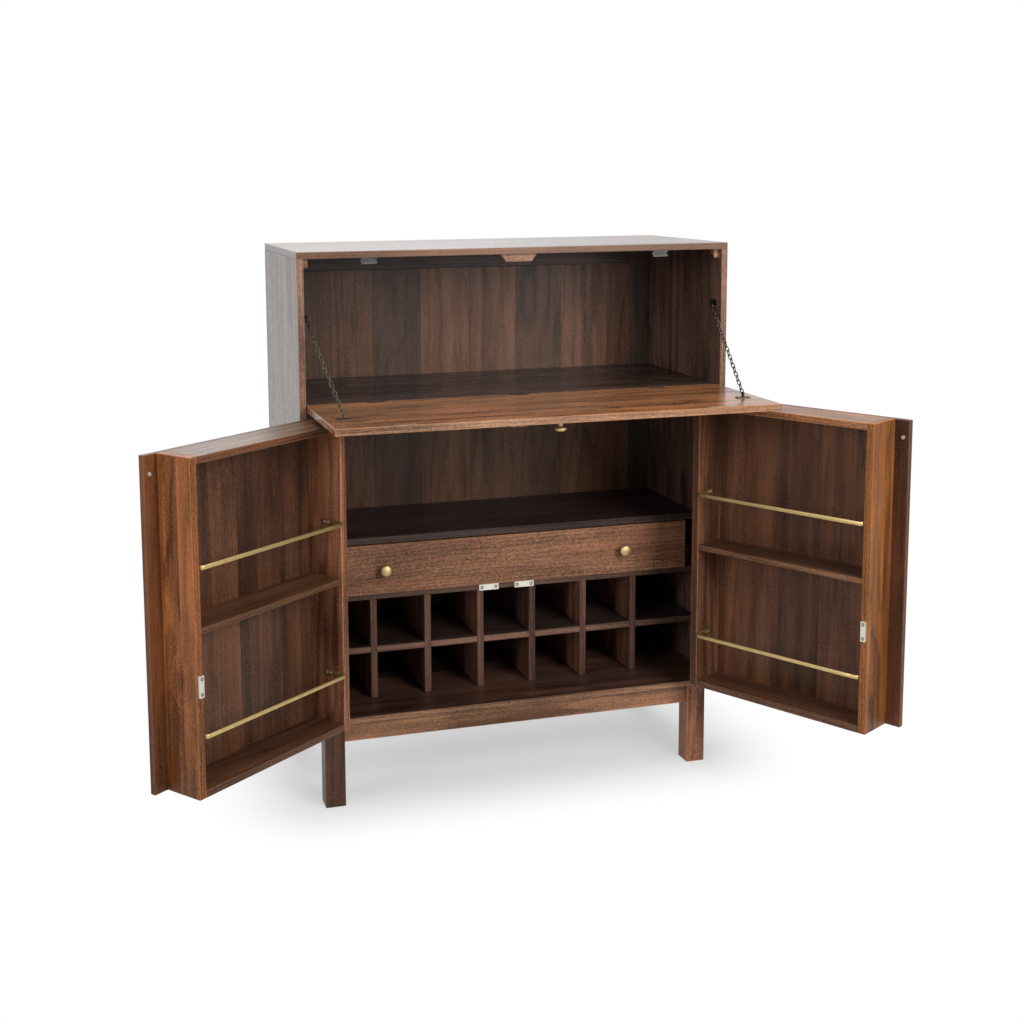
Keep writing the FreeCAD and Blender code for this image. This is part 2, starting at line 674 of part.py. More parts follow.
nodes["flap_strike_plates"] = group("flap_strike_plates", flap_strikes)
nodes["flap_catches"] = group("flap_catches", flap_catches)
nodes["door_strike_plates"] = group("door_strike_plates", door_strikes)

# Wooden stops: one tapered block and two wedges for the flap, one block for the doors.
UPRIGHT = FreeCAD.Rotation(FreeCAD.Vector(1, 0, 0), 90)
flap_stop = prism(
    "flap_stop",
    [
        ("-stop_width / 2 + stop_taper", "0"),
        ("stop_width / 2 - stop_taper", "0"),
        ("stop_width / 2", "stop_height"),
        ("-stop_width / 2", "stop_height"),
    ],
    "stop_depth",
    UPRIGHT,
)
settle(flap_stop, "0", "stop_front + stop_depth", "under_top - stop_height")
stops = [flap_stop]
SIDEWAYS = FreeCAD.Rotation(FreeCAD.Vector(0, 1, 0), FreeCAD.Vector(0, 0, 1), FreeCAD.Vector(1, 0, 0), "XYZ")
for side, sign in SIDES:
    wedge = prism(
        f"{side}_side_stop",
        [("0", "-side_stop_height"), ("side_stop_depth", "0"), ("0", "0")],
        "side_stop_thick",
        SIDEWAYS,
    )
    x0, x1 = flank(sign, "inner - side_stop_thick", "inner")
    settle(wedge, x0, "stop_front", "under_top")
    stops.append(wedge)
stops.append(
    board(
        "door_stop",
        ("-door_stop_width / 2", "door_stop_front", "bay_floor_low - door_stop_height"),
        ("door_stop_width / 2", "door_stop_front + door_stop_depth", "bay_floor_low"),
    )
)
nodes["stop_blocks"] = group("stop_blocks", stops)

# Doors: a panel that carries a bottle box, drawn closed from the hinge axis and then turned.
HINGE_STARTS = ("door_low + door_hinge_inset", "door_high - door_hinge_inset - door_hinge_length")
case_leaves = []
for side, sign in SIDES:
    x0, x1 = across(sign, "door_start", "door_end")
    panel = board(f"{side}_door_panel", (x0, "door_face", "door_low"), (x1, "door_back", "door_high"))
    x0, x1 = across(sign, "door_start", "hinge_inner")
    name = f"{side}_door_hinge_board"
    hinge_board = board(name, (x0, "door_back", "door_low"), (x1, "box_face", "door_high"))
    x0, x1 = across(sign, "latch_inner", "latch_outer")
    name = f"{side}_door_latch_board"
    latch_board = board(name, (x0, "door_back", "door_low"), (x1, "box_face", "door_high"))
    x0, x1 = across(sign, "hinge_inner", "latch_inner")
    levels = []
    for name, low, high in (
        ("top_board", "box_roof", "door_high"),
        ("shelf", "door_shelf_low", "door_shelf_height"),
        ("bottom_board", "door_low", "box_floor"),
    ):
        levels.append(board(f"{side}_door_{name}", (x0, "door_back", low), (x1, "box_face", high)))
    for piece in [panel, hinge_board, latch_board] + levels:
        nodes[piece.Name] = piece
    # Gallery rails: a strip across the front with tapered ends screwed to the upright boards.
    rail_pair = []
    for name, below in (("upper", "door_shelf_height"), ("lower", "box_floor")):
        level = f"{below} + {name}_rail_rise"
        pieces = [
            block(
                f"{side}_door_{name}_bar",
                (x0, "rail_face - rail_thick", f"{level} - rail_strip / 2"),
                (x1, "rail_face", f"{level} + rail_strip / 2"),
            )
        ]
        for end, start in (("first", x0), ("last", f"({x1}) - rail_thick")):
            leg = document.addObject("Part::Wedge", f"{side}_door_{name}_{end}_leg")
            bind(leg, Xmin="0", X2min="0", Xmax="rail_thick", X2max="rail_thick", Ymin="0", Ymax="rail_leg")
            bind(leg, Zmin="-rail_foot / 2", Zmax="rail_foot / 2")
            bind(leg, Z2min="-rail_strip / 2", Z2max="rail_strip / 2")
            settle(leg, start, "rail_face - rail_leg", level)
            pieces.append(leg)
        rail_pair.append(joined(f"{side}_door_{name}_rail", pieces))
    gallery = group(f"{side}_door_gallery_rails", rail_pair)
    nodes[gallery.Name] = gallery
    # Catch on the latch board, bumper on the overhang.
    x0, x1 = across(
        sign,
        "latch_outer - box_side_thick / 2 - catch_width / 2",
        "latch_outer - box_side_thick / 2 + catch_width / 2",
    )
    catch = block(
        f"{side}_door_catch",
        (x0, "box_face", "strike_middle - catch_height / 2"),
        (x1, "catch_face", "strike_middle + catch_height / 2"),
    )
    nodes[catch.Name] = catch
    bumper = cylinder(
        f"{side}_door_bumper",
        "bumper_radius",
        "bumper_thick",
        f"{sign} * (door_end - bumper_inset)",
        "door_back",
        "door_high - bumper_drop",
        (0, 1, 0),
    )
    nodes[bumper.Name] = bumper
    # Lift-off hinges: the case leaf lies on the side and carries the pin, the door leaf on the door's edge.
    door_leaves = []
    for number, start in enumerate(HINGE_STARTS, 1):
        end = f"{start} + door_hinge_length"
        lower_end = f"{start} + door_hinge_length / 2 - knuckle_gap / 2"
        upper_start = f"{lower_end} + knuckle_gap"
        half_length = "door_hinge_length / 2 - knuckle_gap / 2"
        reach = "door_knuckle + mortise_gap"
        name = f"{side}_door_hinge_{number}"
        x0, x1 = across(sign, "-door_start", "leaf_thick - door_start")
        fixed = [
            block(f"{name}_case_plate", (x0, reach, start), (x1, "door_leaf_width", end)),
            block(f"{name}_case_neck", (x0, "0", start), (x1, reach, lower_end)),
            cylinder(f"{name}_case_knuckle", "door_knuckle", half_length, "0", "0", start),
            cylinder(f"{name}_pin", "door_pin", "door_hinge_length", "0", "0", start),
        ]
        leaf = joined(f"{name}_case_leaf", fixed)
        settle(leaf, f"{-sign} * door_axis_side", "door_axis")
        case_leaves.append(leaf)
        x0, x1 = across(sign, "door_start - leaf_thick", "door_start")
        moving = [
            block(f"{name}_door_plate", (x0, reach, start), (x1, "door_leaf_width", end)),
            block(f"{name}_door_neck", (x0, "0", upper_start), (x1, reach, end)),
            cylinder(f"{name}_door_knuckle", "door_knuckle", half_length, "0", "0", upper_start),
        ]
        bore = cylinder(f"{name}_bore", "door_pin + pin_clearance", "door_hinge_length", "0", "0", start)
        door_leaves.append(bored(f"{name}_door_leaf", joined(f"{name}_door_blank", moving), bore))
    leaves = group(f"{side}_door_hinge_leaves", door_leaves)
    nodes[leaves.Name] = leaves
    stand([panel, hinge_board, latch_board] + levels + [gallery, leaves], side, sign)
    # The catch and the bumper already sit at a point, so they turn inside a group of one.
    for single in (catch, bumper):
        single.Label = f"{single.Name}_closed"
        turned_single = group(f"{single.Name}_turned", [single])
        stand([turned_single], side, sign)
        nodes[single.Name] = turned_single
nodes["door_hinge_case_leaves"] = group("door_hinge_case_leaves", case_leaves)

# Chain plates with a drilled lug. The lugs on the case sides lean the way the chain pulls.
wall_plates = []
flap_plates = []
for side, sign in SIDES:
    x0, x1 = flank(sign, "inner - anchor_thick", "inner")
    plate = block(
        f"{side}_wall_plate_blank",
        (x0, "anchor_y - anchor_length / 2", "anchor_height - anchor_width / 2"),
        (x1, "anchor_y + anchor_length / 2", "anchor_height + anchor_width / 2"),
    )
    x0, x1 = flank(sign, "inner - anchor_thick - lug_reach", "inner - anchor_thick")
    lug = block(
        f"{side}_wall_lug", (x0, "-lug_width / 2", "-lug_thick / 2"), (x1, "lug_width / 2", "lug_thick / 2")
    )
    hole = cylinder(
        f"{side}_wall_lug_hole", "lug_hole", "lug_thick", f"{-sign} * wall_hole_side", "0", "-lug_thick / 2"
    )
    lug = bored(f"{side}_wall_lug_drilled", lug, hole)
    lug.Placement.Rotation = FreeCAD.Rotation(FreeCAD.Vector(1, 0, 0), 1)
    bind(lug, **{"Placement.Rotation.Angle": "chain_slope"})
    settle(lug, "0", "anchor_y", "anchor_height")
    wall_plates.append(joined(f"{side}_wall_plate", [plate, lug]))
    centre = f"{-sign} * flap_anchor_x"
    plate = block(
        f"{side}_flap_plate_blank",
        (f"{centre} - anchor_length / 2", "flap_anchor_y - anchor_width / 2", "bay_height"),
        (f"{centre} + anchor_length / 2", "flap_anchor_y + anchor_width / 2", "bay_height + anchor_thick"),
    )
    lug = block(
        f"{side}_flap_lug",
        (f"{centre} - lug_thick / 2", "flap_anchor_y - lug_width / 2", "bay_height + anchor_thick"),
        (
            f"{centre} + lug_thick / 2",
            "flap_anchor_y + lug_width / 2",
            "bay_height + anchor_thick + lug_reach",
        ),
    )
    hole = cylinder(
        f"{side}_flap_lug_hole",
        "lug_hole",
        "lug_thick",
        f"{centre} - lug_thick / 2",
        "flap_anchor_y",
        "flap_hole_height",
        (1, 0, 0),
    )
    flap_plates.append(bored(f"{side}_flap_plate", joined(f"{side}_flap_plate_whole", [plate, lug]), hole))
nodes["chain_wall_plates"] = group("chain_wall_plates", wall_plates)
nodes["chain_flap_plates"] = group("chain_flap_plates", flap_plates)
document.recompute()


def chain(name, sign):
    """Interlocked links on the straight line between two lug holes, each a quarter turn from the last.

    A link is a four-sided wire bent in eight flats: two straight runs and three flats around each end. Its
    length follows from the distance, the number of links and the play between them.
    """
    wall = FreeCAD.Vector(-sign * places.wall_hole_side, places.anchor_y, places.anchor_height)
    flap_end = FreeCAD.Vector(-sign * places.flap_anchor_x, places.flap_anchor_y, places.flap_hole_height)
    along = (flap_end - wall).normalize()
    wall = wall + along * sizes.link_seat
    flap_end = flap_end - along * sizes.link_seat
    wire = sizes.wire
    reach = ((flap_end - wall).Length + (LINKS - 1) * (wire + sizes.link_gap)) / LINKS
    bend = (sizes.link_width + wire) / 2
    mitre = math.cos(math.pi / BENDS)
    rings = []
    for corner in range(BENDS):
        turn = (corner + 0.5) * 2 * math.pi / BENDS
        outwards = FreeCAD.Vector(math.cos(turn), math.sin(turn), 0)
        end = FreeCAD.Vector(math.copysign(reach / 2 - bend, outwards.x), 0, 0)
        ring = []
        for flat in range(FLATS):
            point = flat * 2 * math.pi / FLATS
            side_step = outwards * ((bend + wire / 2 * math.cos(point)) / mitre)
            ring.append(end + side_step + FreeCAD.Vector(0, 0, wire / 2 * math.sin(point)))
        rings.append(ring)
    faces = []
    for near, far in zip(rings, rings[1:] + rings[:1]):
        for k in range(FLATS):
            m = (k + 1) % FLATS
            faces.append(Part.Face(Part.makePolygon([near[k], far[k], far[m], near[m], near[k]])))
    link = Part.Solid(Part.Shell(faces))
    if link.Volume < 0:
        link.reverse()
    level = FreeCAD.Vector(1, 0, 0)
    upright = along.cross(level).normalize()
    flat = upright.cross(along).normalize()
    links = []
    for number in range(LINKS):
        breadth = flat if number % 2 else upright
        turn = FreeCAD.Rotation(along, breadth, along.cross(breadth), "XYZ")
        centre = wall + along * (reach / 2 + number * (reach - wire - sizes.link_gap))
        links.append(link.transformed(FreeCAD.Placement(centre, turn).toMatrix()))
    feature = document.addObject("Part::Feature", name)
    feature.Shape = Part.makeCompound(links)
    return feature


for side, sign in SIDES:
    nodes[f"{side}_chain"] = chain(f"{side}_chain", sign)
document.recompute()

os.makedirs("parts", exist_ok=True)
for thing in document.Objects:
    if "Invalid" in thing.State or "Error" in thing.State:
        raise RuntimeError(f"{thing.Name} is not built: {thing.State}")
for name, thing in nodes.items():
    if thing.Shape.isNull() or not thing.Shape.isValid() or not thing.Shape.Solids:
        raise RuntimeError(f"{name} has no valid solid")
    thing.Label = name
    thing.Shape.exportStep(f"parts/{name}.step")
    print(name, len(thing.Shape.Solids), round(thing.Shape.Volume / 1000, 2))
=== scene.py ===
"""Looks of the bar armoire: oiled walnut, aged brass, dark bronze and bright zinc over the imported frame.

Metres. +Z is up and the armoire faces -Y, as in the part.
"""
import math
from typing import NamedTuple

import bpy
import numpy as np
from mathutils import Matrix


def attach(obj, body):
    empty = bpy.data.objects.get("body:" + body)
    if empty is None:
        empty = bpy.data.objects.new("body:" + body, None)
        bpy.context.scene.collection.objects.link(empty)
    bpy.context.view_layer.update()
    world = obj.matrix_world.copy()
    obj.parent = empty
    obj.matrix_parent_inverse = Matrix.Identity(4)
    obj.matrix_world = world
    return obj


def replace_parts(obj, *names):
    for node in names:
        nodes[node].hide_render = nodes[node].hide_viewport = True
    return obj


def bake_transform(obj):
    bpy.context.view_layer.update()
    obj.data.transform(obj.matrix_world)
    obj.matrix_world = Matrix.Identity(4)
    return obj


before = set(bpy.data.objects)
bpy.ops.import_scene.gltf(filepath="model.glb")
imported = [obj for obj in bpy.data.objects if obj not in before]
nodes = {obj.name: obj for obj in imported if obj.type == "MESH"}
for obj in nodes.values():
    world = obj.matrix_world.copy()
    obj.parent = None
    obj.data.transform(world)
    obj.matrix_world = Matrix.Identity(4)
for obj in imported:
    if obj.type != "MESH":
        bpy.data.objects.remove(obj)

for leftover in ("Cube", "Light", "Camera"):
    if leftover in bpy.data.objects:
        bpy.data.objects.remove(bpy.data.objects[leftover])

scene = bpy.context.scene
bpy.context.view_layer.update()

# Directions, and the doors as they stand open.
X, Y, Z = np.eye(3)
SIDES = {"left": -1.0, "right": 1.0}
DOOR_OPEN = {"left": math.radians(142.0), "right": math.radians(119.5)}
HINGE_X = 0.4905
HINGE_Y = -0.2235


def door_axes(side):
    """Hinge of a door, the way to its free edge, and the way from its outer face into the bottle box.

    Both ways are those of the closed door, turned about the hinge by the angle at which it stands open.
    """
    sign = SIDES[side]
    swing = DOOR_OPEN[side]
    hinge = np.array((sign * HINGE_X, HINGE_Y, 0.0))
    along = np.array((-sign * math.cos(swing), -math.sin(swing), 0.0))
    inwards = np.array((-sign * math.sin(swing), math.cos(swing), 0.0))
    return hinge, along, inwards


DOORS = {side: door_axes(side) for side in SIDES}


def door_point(side, out, inside, height):
    """A point of a door: so far out from the hinge, so far into the bottle box, at a height."""
    hinge, along, inwards = DOORS[side]
    return hinge + out * along + inside * inwards + height * Z


def reach(node, axes):
    """Lowest and highest place of a node along several axes: the ends of its points' dot products."""
    mesh = nodes[node].data
    points = np.empty(len(mesh.vertices) * 3)
    mesh.vertices.foreach_get("co", points)
    along = points.reshape(-1, 3) @ np.array(axes).T
    return along.min(0), along.max(0)


def far(node, axis):
    """How far a node reaches along one axis."""
    return float(reach(node, (axis,))[1][0])


# Finishes.

MIX_COLOURS = (6, 7)
MIX_RESULT = 2


class Finish:
    """The node graph of one finish. Most methods add a node and give back its output."""

    def __init__(self, name):
        self.material = bpy.data.materials.new(name)
        self.material.use_nodes = True
        self.tree = self.material.node_tree
        self.shader = self.tree.nodes["Principled BSDF"]

    def add(self, kind, **settings):
        """A node of one kind, with its settings."""
        node = self.tree.nodes.new(kind)
        for key, value in settings.items():
            setattr(node, key, value)
        return node

    def feed(self, socket, value):
        """Links an output to a socket, or sets a plain value on it."""
        if isinstance(value, bpy.types.NodeSocket):
            self.tree.links.new(value, socket)
        else:
            socket.default_value = value

    def place(self):
        """Place on the object."""
        return self.add("ShaderNodeTexCoord").outputs["Object"]

    def maths(self, operation, *values):
        """One operation on numbers."""
        node = self.add("ShaderNodeMath", operation=operation)
        for socket, value in zip(node.inputs, values):
            self.feed(socket, value)
        return node.outputs[0]

    def plus(self, value, other):
        """Sum of two numbers."""
        return self.maths("ADD", value, other)

    def minus(self, value, other):
        """Difference of two numbers."""
        return self.maths("SUBTRACT", value, other)

    def times(self, value, other):
        """Product of two numbers."""
        return self.maths("MULTIPLY", value, other)

    def over(self, value, other):
        """Quotient of two numbers."""
        return self.maths("DIVIDE", value, other)

    def span(self, first, second):
        """Length of a line with two sides square to each other: the root of the sum of their squares."""
        return self.maths("SQRT", self.plus(self.times(first, first), self.times(second, second)))

    def dot(self, vector, axis):
        """Place along an axis."""
        node = self.add("ShaderNodeVectorMath", operation="DOT_PRODUCT")
        self.feed(node.inputs[0], vector)
        node.inputs[1].default_value = tuple(axis)
        return node.outputs["Value"]

    def stack(self, x, y, z):
        """Vector of three numbers."""
        node = self.add("ShaderNodeCombineXYZ")
        for socket, value in zip(node.inputs, (x, y, z)):
            self.feed(socket, value)
        return node.outputs[0]

    def stretch(self, vector, factors):
        """Vector times a factor for each of its numbers."""
        node = self.add("ShaderNodeVectorMath", operation="MULTIPLY")
        self.feed(node.inputs[0], vector)
        node.inputs[1].default_value = factors
        return node.outputs[0]

    def noise(self, vector, scale=1.0, detail=2.0, roughness=0.5):
        """Smooth noise from 0 to 1."""
        node = self.add("ShaderNodeTexNoise")
        self.feed(node.inputs["Vector"], vector)
        node.inputs["Scale"].default_value = scale
        node.inputs["Detail"].default_value = detail
        node.inputs["Roughness"].default_value = roughness
        return node.outputs["Fac"]

    def chance(self, number):
        """A drawn value from 0 to 1, always the same for the same number."""
        node = self.add("ShaderNodeTexWhiteNoise", noise_dimensions="1D")
        self.feed(node.inputs["W"], number)
        return node.outputs["Value"]

    def remap(self, value, low, high, new_low=0.0, new_high=1.0, smooth=False):
        """Value carried from one range to another, and held at its ends."""
        node = self.add("ShaderNodeMapRange", interpolation_type="SMOOTHSTEP" if smooth else "LINEAR")
        for socket, number in zip(node.inputs, (value, low, high, new_low, new_high)):
            self.feed(socket, number)
        return node.outputs[0]

    def mix(self, factor, colour, other):
        """Colour turned towards another by a factor."""
        node = self.add("ShaderNodeMix", data_type="RGBA")
        self.feed(node.inputs[0], factor)
        for index, value in zip(MIX_COLOURS, (colour, other)):
            plain_colour = not isinstance(value, bpy.types.NodeSocket)
            self.feed(node.inputs[index], (*value, 1.0) if plain_colour else value)
        return node.outputs[MIX_RESULT]

    def ramp(self, value, stops, steps=False):
        """Colour at a value, between stops of place and colour."""
        node = self.add("ShaderNodeValToRGB")
        node.color_ramp.interpolation = "CONSTANT" if steps else "LINEAR"
        while len(node.color_ramp.elements) < len(stops):
            node.color_ramp.elements.new(1.0)
        for element, (place, colour) in zip(node.color_ramp.elements, stops):
            element.position = place
            element.color = (*colour, 1.0)
        self.feed(node.inputs[0], value)
        return node.outputs[0]

    def weigh(self, parts):
        """A half, plus each value's distance from a half times its weight."""
        total = 0.5
        for value, weight in parts:
            total = self.plus(total, self.times(self.minus(value, 0.5), weight))
        return total

    def bump(self, height, distance, strength):
        """Small relief under the light."""
        node = self.add("ShaderNodeBump")
        node.inputs["Strength"].default_value = strength
        node.inputs["Distance"].default_value = distance
        self.feed(node.inputs["Height"], height)
        self.feed(self.shader.inputs["Normal"], node.outputs[0])


class Layer(NamedTuple):
    """One layer of figure: noise with so many changes a metre along and across the grain.

    The part of the noise between start and end is spread over the whole range.
    """

    along: float
    across: float
    detail: float
    roughness: float
    start: float
    end: float


BEND = Layer(along=1.3, across=8.0, detail=3.0, roughness=0.5, start=0.0, end=1.0)
STREAK = Layer(along=1.6, across=40.0, detail=3.0, roughness=0.55, start=0.3, end=0.7)
FIBRE = Layer(along=12.0, across=420.0, detail=2.0, roughness=0.6, start=0.3, end=0.7)
FLECK = Layer(along=170.0, across=380.0, detail=2.0, roughness=0.5, start=0.34, end=0.66)
PORE = Layer(along=70.0, across=1100.0, detail=1.0, roughness=0.5, start=0.56, end=0.68)
CLOUD = Layer(along=3.2, across=10.0, detail=2.0, roughness=0.5, start=0.3, end=0.7)
RUDDY = Layer(along=1.9, across=16.0, detail=2.0, roughness=0.5, start=0.42, end=0.75)
NOISE_RANGE = (0.3, 0.7)
STREAK_WEIGHT = 0.55
FIBRE_WEIGHT = 0.24
CLOUD_WEIGHT = 0.55

# Staves: the middle one's number, and the jumps of the numbers from board to board and from layer to layer.
FIRST_STAVE = 40.0
STAVE_SHIFT = 0.37
SEED_JUMP = 31.7
LAYER_JUMP = 13.0
DRAW_STEPS = (0.0, 0.31, 0.73)
LOG_LENGTH = 9.0
LOG_BREADTH = 5.0

# Growth rings and knots.
HEART_DEPTH = (0.03, 0.09)
RING_BEND = 0.05
RING_LEAN = 0.014
RING_PITCH = 0.0078
LATE_START = 0.45
LATE_PEAK = 0.86
RING_LEVEL = 0.72
KNOT_SQUASH = 0.6
KNOT_RAGGED = 0.006
KNOT_PUSH = 0.036
KNOT_WEIGHT = 0.3

# Shades of a tone, by channel, and how much of each there is.
DARKEST = (0.24, 0.2, 0.18)
LIGHTEST = (2.0, 1.95, 1.85)
RUDDY_TINT = (1.0, 0.8, 0.62)
RUDDY_SHARE = 0.45
ASHEN_TINT = (0.6, 0.7, 0.82)
PORE_TINT = (0.25, 0.25, 0.25)
PORE_SHARE = 0.35
WORN_TINT = (1.9, 1.9, 1.8)
WORN_SHARE = 0.5
WORN_START = 0.45
WORN_WIDTH = (0.0012, 0.0032)
WORN_SCALE = 60.0
WORN_DETAIL = 3.0

# Oil and open pores.
STREAK_DULL = 0.06
PORE_DULL = 0.15
OIL_SPECULAR = 0.22
FIBRE_RELIEF = 0.4
RELIEF_HEIGHT = 0.00025


def tinted(tone, factors):
    """A tone with each channel times a factor."""
    return tuple(channel * factor for channel, factor in zip(tone, factors))


def shades(tone):
    """A dark, a middle and a light shade of one tone of wood, as the stops of a ramp."""
    return [(0.0, tinted(tone, DARKEST)), (0.5, tone), (1.0, tinted(tone, LIGHTEST))]


class Walnut(Finish):
    """Oiled walnut for one board: grain along one axis, and glued staves side by side across it."""

    def __init__(self, name, grain, across, board, seed, edges):
        super().__init__(name)
        self.board = board
        self.axes = (grain, across, np.cross(grain, across))
        self.spot = self.place()
        self.lengthwise, self.crosswise, self.through = (self.dot(self.spot, axis) for axis in self.axes)
        self.lay_staves(board.get("log", seed))
        self.streak = self.layer(STREAK)
        self.fibre = self.layer(FIBRE)
        self.pore = self.layer(PORE, smooth=True)
        colour = self.colour(self.figure())
        if edges is not None:
            colour = self.worn(colour, *edges)
        self.oil(colour)

    def lay_staves(self, seed):
        """Staves: each one's number is the floor of the place across over the width, with a jump for each
        layer of boards. By its number it draws a shade, its place along a log and the place of the log's
        heart. A board may pick the shades of its staves itself."""
        board = self.board
        picks = board.get("picks")
        start = FIRST_STAVE if picks else FIRST_STAVE + STAVE_SHIFT * seed
        counted = self.plus(self.over(self.crosswise, board["width"]), start)
        stave = self.maths("FLOOR", counted)
        if "layers" in board:
            counted_layer = self.plus(self.over(self.through, board["layers"]), FIRST_STAVE + 0.5)
            layer = self.maths("FLOOR", counted_layer)
            stave = self.plus(stave, self.times(layer, LAYER_JUMP))
        number = self.plus(stave, SEED_JUMP * seed)
        self.shade, self.shift, self.heart = (self.chance(self.plus(number, step)) for step in DRAW_STEPS)
        if picks:
            first = FIRST_STAVE - 0.5 - len(picks) // 2
            order = self.over(self.minus(stave, first), float(len(picks)))
            stops = [(place / len(picks), (pick,) * 3) for place, pick in enumerate(picks)]
            self.shade = self.ramp(order, stops, steps=True)
        self.off_heart = self.times(self.minus(self.maths("FRACT", counted), self.heart), board["width"])
        self.up_log = self.plus(self.lengthwise, self.times(self.shift, LOG_LENGTH))
        across_log = self.plus(self.crosswise, self.times(self.heart, LOG_BREADTH))
        self.log = self.stack(self.up_log, across_log, self.through)

    def layer(self, kind, low=0.0, high=1.0, smooth=False):
        """Noise in the log, stretched along the grain."""
        squeezed = self.stretch(self.log, (kind.along, kind.across, kind.across))
        noise = self.noise(squeezed, detail=kind.detail, roughness=kind.roughness)
        return self.remap(noise, kind.start, kind.end, low, high, smooth)

    def knot(self, bend):
        """A knot: 1 in its middle and 0 at its size, with a squashed height and a ragged outline."""
        height, side, size = self.board["knot"]
        above = self.times(self.minus(self.lengthwise, height), KNOT_SQUASH)
        away = self.span(above, self.minus(self.crosswise, side))
        ragged = self.remap(bend, *NOISE_RANGE, -KNOT_RAGGED, KNOT_RAGGED)
        return self.remap(self.plus(away, ragged), 0.0, size, 1.0, 0.0, smooth=True)

    def rings(self, bend, knot):
        """Growth rings: equal steps of the distance to the log's heart, bent by slow noise, leaning along
        the grain and pushed out by a knot. Each step has a soft dark line of late wood near its end."""
        under = self.plus(self.through, self.remap(self.shift, 0.0, 1.0, *HEART_DEPTH))
        drift = self.plus(self.times(bend, RING_BEND), self.times(self.up_log, RING_LEAN))
        distance = self.plus(self.span(self.off_heart, under), drift)
        if knot is not None:
            distance = self.plus(distance, self.times(knot, KNOT_PUSH))
        step = self.maths("FRACT", self.over(distance, RING_PITCH))
        rise = self.remap(step, LATE_START, LATE_PEAK, smooth=True)
        fall = self.remap(step, LATE_PEAK, 1.0, 1.0, 0.0, smooth=True)
        return self.minus(RING_LEVEL, self.times(self.times(rise, fall), RING_LEVEL))

    def figure(self):
        """Level between dark and light wood: the weighted sum of streaks, fibres, flecks, clouds, rings and
        the stave's own shade, less the square of a knot and a slow painted shade along the board's height."""
        board = self.board
        bend = self.layer(BEND)
        knot = self.knot(bend) if "knot" in board else None
        layers = [
            (self.streak, STREAK_WEIGHT),
            (self.fibre, FIBRE_WEIGHT),
            (self.layer(FLECK), board["fleck"]),
            (self.layer(CLOUD), CLOUD_WEIGHT),
            (self.rings(bend, knot), board["ring"]),
        ]
        parts = [(value, weight * board["figure"]) for value, weight in layers]
        parts.append((self.shade, 2 * board["spread"]))
        if knot is not None:
            parts.append((self.minus(0.5, self.times(knot, knot)), KNOT_WEIGHT))
        # A painted shade: the board grows darker towards one end of its height.
        if "heartwood" in board:
            start, end, weight = board["heartwood"]
            parts.append((self.remap(self.lengthwise, start, end, 0.5, -0.5, smooth=True), weight))
        return self.weigh(parts)

    def colour(self, level):
        """Colour at a level: the board's shades, other shades on its lip and its outer face, ruddy clouds,
        ash in dark staves and dark pores."""
        board = self.board
        tone = board["tone"]
        colour = self.ramp(level, shades(tone))
        for skin in ("lip", "face"):
            if skin in board:
                skin_tone, (axis, start, full) = board[skin]
                cover = self.remap(self.dot(self.spot, axis), start, full)
                colour = self.mix(cover, colour, self.ramp(level, shades(skin_tone)))
        colour = self.mix(self.layer(RUDDY, 0.0, RUDDY_SHARE), colour, tinted(tone, RUDDY_TINT))
        ash = self.remap(self.shade, 0.0, 0.5, board["ash"], 0.0)
        colour = self.mix(ash, colour, tinted(tone, ASHEN_TINT))
        return self.mix(self.times(self.pore, PORE_SHARE), colour, tinted(tone, PORE_TINT))

    def worn(self, colour, centre, half):
        """Arrises worn lighter. The gap to the faces on one axis is half the board less the distance from
        its middle. The larger gap of each two axes is small at their arris, and the smallest of these, over
        a ragged width, fades the wear out."""
        gaps = []
        for axis, middle, size in zip(self.axes, centre, half):
            off_middle = self.maths("ABSOLUTE", self.minus(self.dot(self.spot, axis), float(middle)))
            gaps.append(self.minus(float(size), off_middle))
        pairs = [self.maths("MAXIMUM", gaps[i], gaps[j]) for i, j in ((0, 1), (1, 2), (0, 2))]
        near = self.maths("MINIMUM", self.maths("MINIMUM", pairs[0], pairs[1]), pairs[2])
        rough = self.noise(self.spot, scale=WORN_SCALE, detail=WORN_DETAIL)
        ragged = self.remap(rough, *NOISE_RANGE, *WORN_WIDTH)
        wear = self.remap(self.over(near, ragged), WORN_START, 1.0, WORN_SHARE, 0.0, smooth=True)
        return self.mix(wear, colour, tinted(self.board["tone"], WORN_TINT))

    def oil(self, colour):
        """The oiled surface: dark streaks and pores are duller, pores are sunk and fibres stand up."""
        inputs = self.shader.inputs
        gloss = self.board["gloss"]
        self.feed(inputs["Base Color"], colour)
        sheen = self.remap(self.streak, 0.0, 1.0, gloss + STREAK_DULL, gloss)
        self.feed(inputs["Roughness"], self.plus(sheen, self.times(self.pore, PORE_DULL)))
        inputs["Specular IOR Level"].default_value = OIL_SPECULAR
        height = self.minus(self.times(self.fibre, FIBRE_RELIEF), self.pore)
        self.bump(height, RELIEF_HEIGHT, self.board["relief"])


METAL_SCALE = 60.0
METAL_DETAIL = 4.0
METAL_ROUGHNESS = 0.6
METAL_RANGE = (0.35, 0.7)
METAL_DULL = 0.14


def metal(name, colour, dull, rough, mottle):
    """A metal: noise turns its colour towards a duller one and varies its gloss."""
    look = Finish(name)
    noise = look.noise(look.place(), METAL_SCALE, METAL_DETAIL, METAL_ROUGHNESS)
    cloud = look.remap(noise, *METAL_RANGE)
    look.feed(look.shader.inputs["Base Color"], look.mix(look.times(cloud, mottle), colour, dull))
    look.feed(look.shader.inputs["Roughness"], look.remap(cloud, 0.0, 1.0, rough, rough + METAL_DULL))
    look.shader.inputs["Metallic"].default_value = 1.0
    return look.material


def plain(name, colour, rough):
    """A finish of one colour."""
    look = Finish(name)
    look.shader.inputs["Base Color"].default_value = (*colour, 1.0)
    look.shader.inputs["Roughness"].default_value = rough
    return look.material


